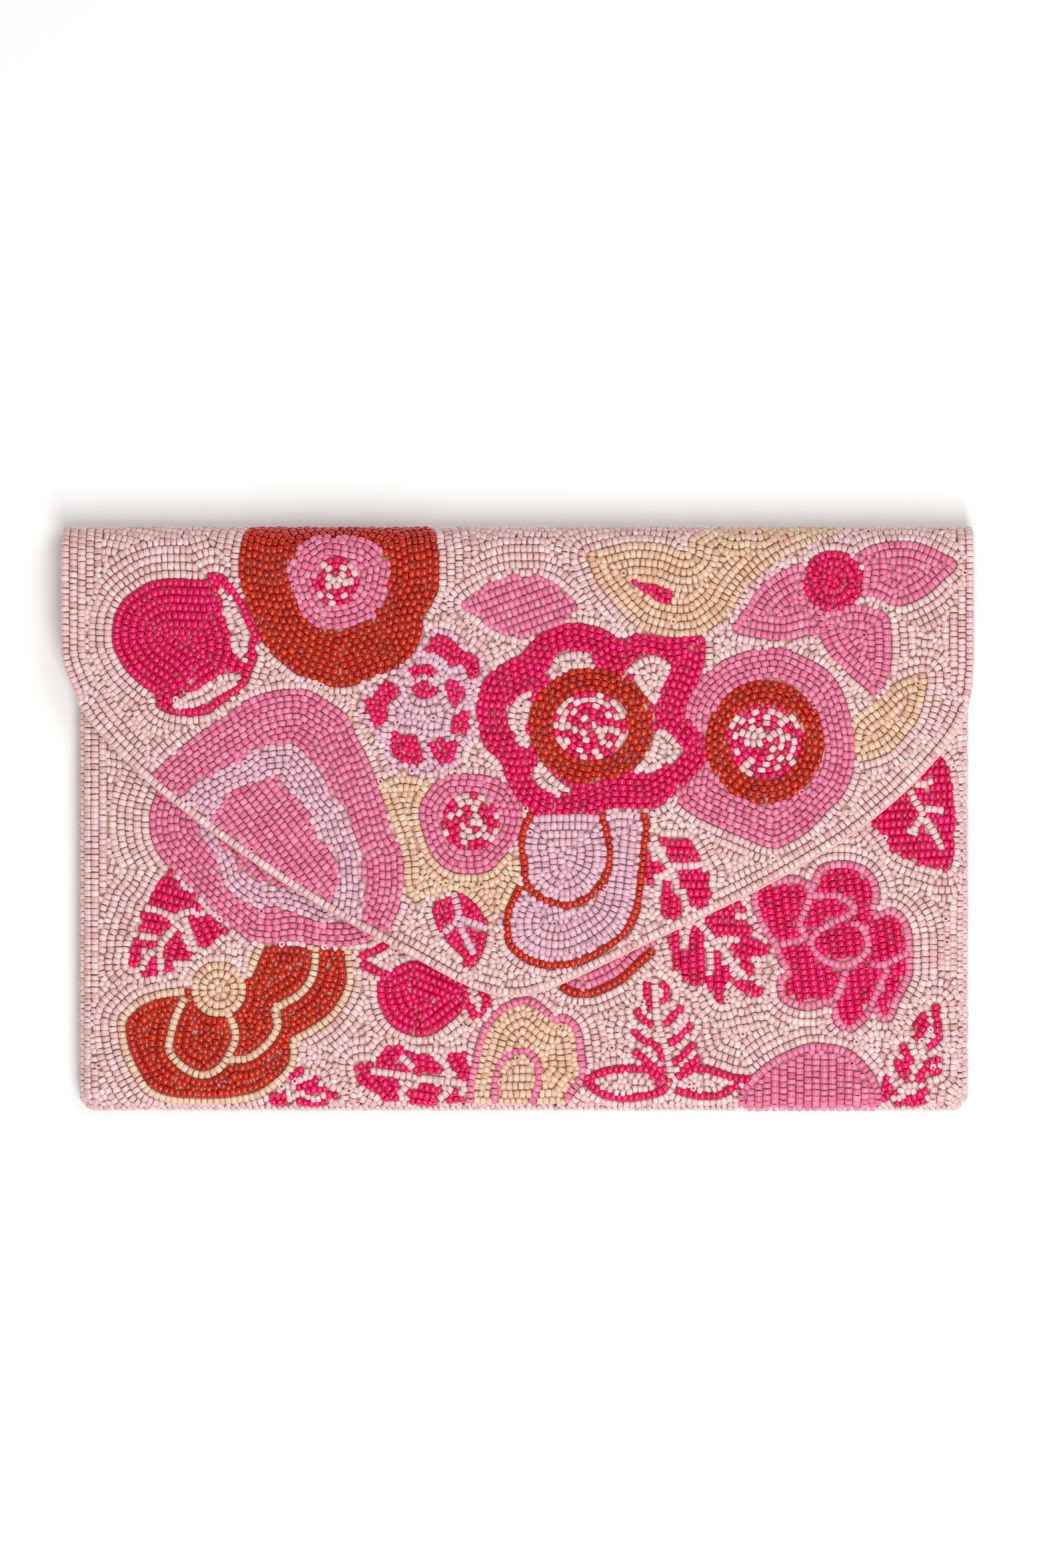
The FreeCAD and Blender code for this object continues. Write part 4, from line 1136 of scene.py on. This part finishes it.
def board_material():
    material, tree, shader = new_material("stiffener_board")
    tint = ramp(tree, noise(tree, 600, 4.0, stretch=(1, 4, 1)),
                [(0.3, srgb(196, 182, 160)), (0.7, srgb(222, 210, 190))])
    tree.links.new(tint, shader.inputs["Base Color"])
    tree.links.new(spread(tree, noise(tree, 300), 0.75, 0.95), shader.inputs["Roughness"])
    add_bump(tree, shader, noise(tree, 900, 4.0), 0.4, 0.08)
    return material


def metal_material(name, colour, roughness, metallic=1.0):
    material, tree, shader = new_material(name)
    tint = ramp(tree, noise(tree, 260, 3.0),
                [(0.3, tuple(0.86 * c for c in colour)), (0.7, colour)])
    tree.links.new(tint, shader.inputs["Base Color"])
    scratches = noise(tree, 900, 2.0, stretch=(1, 14, 1))
    tree.links.new(spread(tree, scratches, roughness, roughness + 0.14), shader.inputs["Roughness"])
    add_bump(tree, shader, scratches, 0.15, 0.02)
    shader.inputs["Metallic"].default_value = metallic
    return material


MATERIALS = {"beads_" + name: bead_material("beads_" + name, *look) for name, look in BEAD_LOOKS.items()}
MATERIALS.update({
    "canvas": cloth_material("backing_cloth", srgb(226, 170, 156), srgb(242, 194, 178), 0.24, 0.12),
    "edge": cloth_material("satin_edge", srgb(238, 200, 184), srgb(248, 216, 202), 0.18, 0.2),
    "lining": cloth_material("satin_lining", srgb(222, 178, 158), srgb(238, 198, 178), 0.2, 0.2),
    "board": board_material(),
    "snap_metal": metal_material("pale_gold_plate", (0.83, 0.66, 0.42), 0.2),
    "magnet": metal_material("ferrite", (0.12, 0.12, 0.13), 0.55, 0.3),
})


# ---------- cloth ----------

def slab(name, points, normals, thickness, materials, closed_across=False):
    """A thin closed sheet round a grid of points: rows x columns x 3, with the normal at each."""
    rows, cols = points.shape[:2]
    outer = (points + normals * thickness / 2).reshape(-1, 3)
    inner = (points - normals * thickness / 2).reshape(-1, 3)
    verts = np.vstack([outer, inner])
    index = np.arange(rows * cols).reshape(rows, cols)
    right = np.roll(index, -1, axis=1) if closed_across else index[:, 1:]
    left = index if closed_across else index[:, :-1]
    top = np.stack([left[:-1], right[:-1], right[1:], left[1:]], axis=-1).reshape(-1, 4)
    under = top[:, ::-1] + rows * cols
    rims = [(left[0], right[0], False), (left[-1], right[-1], True)]
    if not closed_across:
        rims += [(index[:-1, 0], index[1:, 0], True), (index[:-1, -1], index[1:, -1], False)]
    walls = []
    for a, b, flip in rims:
        quad = np.stack([b, a, a + rows * cols, b + rows * cols], axis=-1)
        walls.append(quad[:, ::-1] if flip else quad)
    faces = np.vstack([top, under] + walls)
    obj = mesh_from(name, verts, faces)
    for material in materials:
        obj.data.materials.append(MATERIALS[material])
    if len(materials) > 1:
        slots = np.zeros(len(faces), np.int32)
        slots[len(top):2 * len(top)] = 1
        obj.data.polygons.foreach_set("material_index", slots)
    return obj


def ripples(x, y, height, length):
    """A low uneven waviness, for cloth that isn't stretched flat."""
    wave = (np.sin(x / length + 1.3 * np.sin(y / (1.7 * length)))
            + np.sin(y / (0.8 * length) + 2.1 + np.sin(x / (1.3 * length)))
            + 0.6 * np.sin((x + y) / (0.55 * length)))
    return height * wave / 2.6


def grid_of(surface, us, vs):
    """Points and normals of a surface over a grid of u and v."""
    u, v = np.meshgrid(us, vs)
    point, _, _, normal = surface(u.ravel(), v.ravel())
    return point.reshape(len(vs), len(us), 3), normal.reshape(len(vs), len(us), 3)


def pocket_spans():
    """Places across and up a pocket panel, closer together where the sides turn."""
    turn = np.linspace(SIDE_END, 0, 9)[:-1]
    us = np.concatenate([FLAT_LEFT - turn, np.linspace(FLAT_LEFT, FLAT_RIGHT, 58),
                         (FLAT_RIGHT + turn)[::-1]])
    vs = np.concatenate([FLAT_BOTTOM - turn, np.linspace(FLAT_BOTTOM, MOUTH_Y, 38)])
    return us, vs


def make_pocket_cloth():
    """Canvas and lining of the front and back panels."""
    us, vs = pocket_spans()
    for side, front in (("front", True), ("back", False)):
        def outer(u, v, front=front):
            return pocket_frame(u, v, SEAM_Z - CANVAS_DEPTH, front)

        def inner(u, v, front=front):
            point, across, up, normal = pocket_frame(u, v, SEAM_Z - LINING_DEPTH, front)
            flat = np.minimum(np.minimum(u - FLAT_LEFT, FLAT_RIGHT - u), v - FLAT_BOTTOM)
            ease = np.clip(flat / 12, 0, 1)
            lift = ease * (0.25 + ripples(point[:, 0], point[:, 1], 0.22, 16))
            return point - lift[:, None] * normal, across, up, normal

        points, normals = grid_of(outer, us, vs)
        cloth = slab(side + "_cloth", points, normals, CANVAS_THICKNESS, ["canvas"])
        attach(cloth, "body")
        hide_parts(side + "_canvas")
        hem = [make_mouth_hem()] if front else []
        points, normals = grid_of(inner, us, vs)
        lining = slab(side + "_lining_cloth", points, normals, LINING_THICKNESS, ["lining"])
        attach(lining, "body")
        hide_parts(side + "_lining")
        strip = [] if front else [make_top_lining()]


def make_top_lining():
    """The back lining above the mouth, eased down over the ends of the board."""
    us = np.concatenate([np.linspace(-122.2, -113.0, 9), np.linspace(-112.4, 115.6, 60),
                         np.linspace(116.2, 122.2, 7)])
    vs = np.array([MOUTH_Y - 0.2, 66, 68, 70, 71.2, BOARD_TOP_Y, BOARD_TOP_Y + 0.2, BOARD_TOP_Y + 0.5])
    x, y = np.meshgrid(us, vs)
    beyond = np.maximum(np.maximum(FLAT_LEFT - x, x - FLAT_RIGHT) / 1.6, (y - BOARD_TOP_Y) / 0.4)
    z = 3.5 - 0.82 * np.clip(beyond, 0, 1)
    normals = np.zeros(x.shape + (3,))
    normals[..., 2] = 1
    points = np.dstack([x, y, z])
    strip = slab("back_top_lining_cloth", points, normals, LINING_THICKNESS, ["lining"])
    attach(strip, "body")
    return strip


def make_mouth_hem():
    """The front cloth turned over the top edge of its board, down to the lining."""
    along = np.linspace(FLAT_LEFT - 0.6, FLAT_RIGHT + 0.6, 150)
    turn = np.linspace(-0.5, math.pi + 0.5, 14)
    x, t = np.meshgrid(along, turn)
    middle_z, radius = 9.5, 0.72
    points = np.stack([x, MOUTH_Y - 0.35 + radius * np.sin(t), middle_z + radius * np.cos(t)], axis=-1)
    points[..., 1] += 0.05 * np.sin(x / 2.7)
    normals = np.stack([np.zeros_like(x), np.sin(t), np.cos(t)], axis=-1)
    hem = slab("mouth_hem", points[:, ::-1], normals[:, ::-1], CANVAS_THICKNESS, ["edge"])
    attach(hem, "body")
    return hem


def fold_point(k):
    y, z = FOLD_LINES[k]
    return (0, y * MM, z * MM)


def fold_blend(k):
    """The two bodies that zone k of the fold joins, and the two lines that it bends between."""
    return *FOLD_ZONES[k][2], fold_point(k), fold_point(k + 1)


def make_fold_cloth():
    """The rolled cloth in its four zones, and the flat strip behind the mouth."""
    us = np.linspace(-FLAP_HALF_WIDTH + 0.15, FLAP_HALF_WIDTH - 0.15, 90)

    def surface(u, s):
        return flap_frame(u, s, FOLD_CLOTH_R - 0.3)

    made = []
    for k, (name, strip, _) in enumerate(FOLD_ZONES):
        end = FOLD_END - k * FOLD_ZONE
        points, normals = grid_of(surface, us, np.linspace(end - FOLD_ZONE, end, 7))
        cloth = slab(name + "_cloth", points, normals, FOLD_THICKNESS, ["canvas", "lining"])
        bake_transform(cloth)
        made.append(cloth)
        if strip:
            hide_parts(strip + "_canvas", strip + "_lining")
    points, normals = grid_of(surface, us, np.linspace(FOLD_END, FLAP_TOP_S, 7))
    cloth = slab("back_top_cloth", points, normals, FOLD_THICKNESS, ["canvas", "lining"])
    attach(cloth, "body")
    return made + [cloth]


def flap_rim():
    """The flap's edge from the fold's left end down round to its right end, evenly spaced, with
    the inward normal at each point."""
    curve = curve_through(FLAP_EDGE, False, 8)
    line = np.vstack([[(-FLAP_HALF_WIDTH, FOLD_Y)], curve, [(FLAP_HALF_WIDTH, FOLD_Y)]])
    points, angles = walk(line, 1.5, 0.0)
    points = np.vstack([points, [(FLAP_HALF_WIDTH, FOLD_Y)]])
    angles = np.append(angles, math.pi / 2)
    inward = np.column_stack([-np.sin(angles), np.cos(angles)])
    return points, inward


def make_flap_edge(rim, inward):
    """The satin edge, turned round the rim of the flap's board and tucked in under it."""
    radius, middle_z = 0.66, 13.9
    round_rim = [(0.8 - radius * math.sin(t), t) for t in np.linspace(-0.15, math.pi, 12)]
    rows, normal_rows = [], []
    for inset, t in [(1.8, 0.0)] + round_rim + [(2.2, math.pi), (3.6, math.pi)]:
        z = np.full(len(rim), middle_z + radius * math.cos(t))
        rows.append(np.column_stack([rim + inward * inset, z]))
        normal_rows.append(np.column_stack([-inward * math.sin(t), np.full(len(rim), math.cos(t))]))
    points, normals = np.array(rows)[:, ::-1], np.array(normal_rows)[:, ::-1]
    edge = slab("flap_turned_edge", points, normals, EDGE_THICKNESS, ["edge"])
    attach(edge, "flap")
    return edge


def make_flap_cloth(fold_cloths):
    """The flap's canvas and lining, each a sheet of rings from the middle out to the rim."""
    rim, inward = flap_rim()
    edge = make_flap_edge(rim, inward)
    top_x = np.linspace(FLAP_HALF_WIDTH, -FLAP_HALF_WIDTH, 70)[1:-1]
    centre = np.array([0, 27.0])
    for name, inset, top_y, z, wavy, thickness, material, node in (
        ("flap_cloth", 0.9, FOLD_Y, 14.54, 0.0, CANVAS_THICKNESS, "canvas", "flap_canvas"),
        ("flap_lining_cloth", 2.4, BOARD_TOP_Y, 13.12, 0.1, LINING_THICKNESS, "lining", "flap_lining"),
    ):
        top = np.column_stack([top_x, np.full(len(top_x), top_y)])
        outline = np.vstack([rim + inward * inset, top])
        outline[:, 1] = np.minimum(outline[:, 1], top_y)
        rings = np.concatenate([[0.004], np.linspace(0.06, 1, 26)])
        grid = centre + (outline - centre)[None] * rings[:, None, None]
        x, y = grid[..., 0], grid[..., 1]
        fade = np.clip((1 - rings) / 0.12, 0, 1)[:, None]
        zs = z + wavy * fade * (ripples(x, y, 1.0, 15) - 0.2)
        points = np.dstack([x, y, zs])
        if node == "flap_lining":
            turned = points[-1] + [0, 0, 0.12]
            turned[len(rim):] += [0, 0.2, 0.7]
            points = np.concatenate([points, turned[None]])
        normals = np.zeros_like(points)
        normals[..., 2] = 1
        cloth = slab(name, points[::-1], normals, thickness, [material], closed_across=True)
        close_centre(cloth, len(outline), len(points))
        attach(cloth, "flap")
        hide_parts(node)
        x, y = outline.T


def close_centre(obj, around, rings):
    """Fills the small hole in the middle of a polar sheet, on both faces, and drops its rim."""
    work = bmesh.new()
    work.from_mesh(obj.data)
    work.verts.ensure_lookup_table()
    total = around * rings
    upper = [work.verts[total - around + k] for k in range(around)]
    lower = [work.verts[2 * total - around + k] for k in range(around)]
    rim = {v.index for v in upper + lower}
    doomed = [f for f in work.faces if all(v.index in rim for v in f.verts)]
    bmesh.ops.delete(work, geom=doomed, context="FACES_ONLY")
    for ring in (upper, lower):
        middle = sum((v.co for v in ring), Vector()) / around
        bmesh.ops.pointmerge(work, verts=ring, merge_co=middle)
    bmesh.ops.recalc_face_normals(work, faces=work.faces)
    work.to_mesh(obj.data)
    work.free()


# ---------- beadwork ----------

def flap_domain():
    """The outline of the flap, fold and back top laid flat, and the flap's own edge."""
    rim, inward = flap_rim()
    inset = np.where(rim[:, 0] > -10, 0.4, 0.15)
    inset = np.where(rim[:, 1] > 30, 0.1, inset)
    line = rim + inward * inset[:, None]
    side = FLAP_HALF_WIDTH - 0.1
    outline = np.vstack([line, [(side, FLAP_TOP_S), (-side, FLAP_TOP_S)]])
    return outline, line


def make_flap_beads():
    """One pattern for the flap, the fold and the back top, split where they meet."""
    outline, line = flap_domain()
    pattern = Pattern(-123.5, 123.5, -49.5, FLAP_TOP_S + 1, lambda x, y: inside(outline, x, y))
    below = line[line[:, 1] < 30]
    shift = np.gradient(below, axis=0)
    shift /= np.hypot(shift[:, 0], shift[:, 1])[:, None]
    border = below + np.column_stack([-shift[:, 1], shift[:, 0]]) * ROW / 2
    lay_out(pattern, FLAP_MOTIFS, FLAP_STROKES + [(BLUSH, border)], unroll_fold)
    lay_background(pattern)
    beads = np.array(pattern.beads)
    s = beads[:, 1]
    split_beads("flap", beads[s < FOLD_Y], flap_frame, "flap", ["flap_beadwork"])
    for k, (name, strip, _) in enumerate(FOLD_ZONES):
        high = FOLD_END - k * FOLD_ZONE
        chosen = beads[(s >= high - FOLD_ZONE) & (s < high)]
        replaced = [strip + "_beadwork"] if strip else []
        split_beads(name, chosen, flap_frame, None, replaced, fold_blend(k))
    split_beads("back_top", beads[s >= FOLD_END], flap_frame, "body", [])


def pocket_domain(x, y, past=0.0):
    """Where beads go on a pocket panel, with past more at each side."""
    middle, reach = (FLAT_LEFT + FLAT_RIGHT) / 2, (FLAT_RIGHT - FLAT_LEFT) / 2 + SIDE_END
    return (np.abs(x - middle) < reach + past) & (y > FLAT_BOTTOM - RIM_ROW + 1.1) & (y < MOUTH_Y)


def make_front_beads():
    """The front panel's pattern, with room for the snap."""
    def domain(x, y):
        return pocket_domain(x, y, ROW / 2) & (np.hypot(x - SNAP_X, y - SNAP_Y) > SNAP_CLEARING_R)

    pattern = Pattern(-122.5, 125.8, -77.5, MOUTH_Y + 0.5, domain)
    lay_out(pattern, FRONT_MOTIFS, FRONT_STROKES, unroll_sides)
    lay_background(pattern)
    nodes = ["front_beadwork"] + ["front_" + edge + "_edge_beads" for edge in ("left", "right", "bottom")]
    split_beads("front", np.array(pattern.beads), pocket_frame, "body", nodes)


def make_back_beads():
    """The back panel, plain."""
    pattern = Pattern(-121.5, 124.8, -77.5, MOUTH_Y + 0.5,
                      lambda x, y: pocket_domain(x, y, -ROW / 2))
    lay_background(pattern)

    def surface(u, v):
        return pocket_frame(u, v, SEAM_Z - BEAD_HEIGHT, False)

    nodes = ["back_beadwork"] + ["back_" + edge + "_edge_beads" for edge in ("left", "right", "bottom")]
    split_beads("back", np.array(pattern.beads), surface, "body", nodes)


def make_seam_beads():
    """Three strings of small beads round the bottom rim: one on each panel and one on the seam."""
    for name, front, past in (("front_rim", True, RIM_ROW), ("seam", True, SIDE_END),
                              ("back_rim", False, RIM_ROW)):
        x = np.arange(FLAT_LEFT - past, FLAT_RIGHT + past, STEP * 0.96)
        x = x[RNG.random(len(x)) > 0.03]
        rows = np.array([(u, FLAT_BOTTOM - past, 0.0, BLUSH, LIES) for u in x])

        def surface(u, v, front=front):
            return pocket_frame(u, v, SEAM_Z - BEAD_HEIGHT + 0.3, front)

        obj = bead_piece(name + "_beads", rows, surface, RIM_BEAD_SIZE)
        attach(obj, "body")


# ---------- hardware and materials of the CAD nodes ----------

def dress_cad_nodes():
    """Materials for the boards and the snap, which are the CAD's own shapes."""
    for name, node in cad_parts.items():
        if node.hide_render:
            continue
        if name.endswith("_board"):
            material = MATERIALS["board"]
        elif name == "snap_ring_magnet":
            material = MATERIALS["magnet"]
        elif name.startswith("snap_"):
            material = MATERIALS["snap_metal"]
        else:
            raise RuntimeError(name + " has no look")
        node.data.materials.clear()
        node.data.materials.append(material)


def area_light(name, place, target, size, power):
    data = bpy.data.lights.new(name, "AREA")
    data.shape = "RECTANGLE"
    data.size, data.size_y = size
    data.energy = power
    light = bpy.data.objects.new(name, data)
    bpy.context.scene.collection.objects.link(light)
    light.location = place
    direction = np.array(target) - np.array(place)
    light.rotation_euler = Vector(direction).to_track_quat("-Z", "Y").to_euler()


def make_stage():
    """White paper, a key light, a fill light and a white world."""
    points = np.array([(-2500, -2500, 0), (2500, -2500, 0), (2500, 2500, 0), (-2500, 2500, 0)], float)
    floor = mesh_from("floor", points, np.array([[0, 1, 2, 3]]))
    material, tree, shader = new_material("floor_paper")
    tint = ramp(tree, noise(tree, 3.0), [(0.3, (0.90, 0.90, 0.90)), (0.7, (0.92, 0.92, 0.92))])
    tree.links.new(tint, shader.inputs["Base Color"])
    shader.inputs["Roughness"].default_value = 0.9
    floor.data.materials.append(material)
    area_light("key", (0.12, -0.5, 1.05), (0, 0, 0), (0.4, 0.95), 10.2)
    area_light("fill", (0.5, 0.35, 1.2), (0, 0, 0), (0.6, 0.6), 4.2)
    world = bpy.data.worlds.new("studio")
    world.use_nodes = True
    world.node_tree.nodes["Background"].inputs["Color"].default_value = (1, 1, 1, 1)
    world.node_tree.nodes["Background"].inputs["Strength"].default_value = 0.445
    bpy.context.scene.world = world
    bpy.context.scene.view_settings.view_transform = "Standard"


def make_camera():
    """Straight down, a little up from the middle, with the frame 280 mm wide at the top beads."""
    data = bpy.data.cameras.new("camera")
    camera = bpy.data.objects.new("camera", data)
    bpy.context.scene.collection.objects.link(camera)
    data.sensor_fit = "VERTICAL"
    data.sensor_height = 36
    data.lens = data.sensor_height * (CAMERA_Z - TOP_Z) / FRAME_HEIGHT
    camera.location = (CAMERA_X * MM, CAMERA_Y * MM, CAMERA_Z * MM)
    data.clip_start, data.clip_end = 0.05, 20
    bpy.context.scene.camera = camera


make_pocket_cloth()
make_flap_cloth(make_fold_cloth())
make_flap_beads()
make_front_beads()
make_back_beads()
make_seam_beads()
dress_cad_nodes()
make_stage()
make_camera()
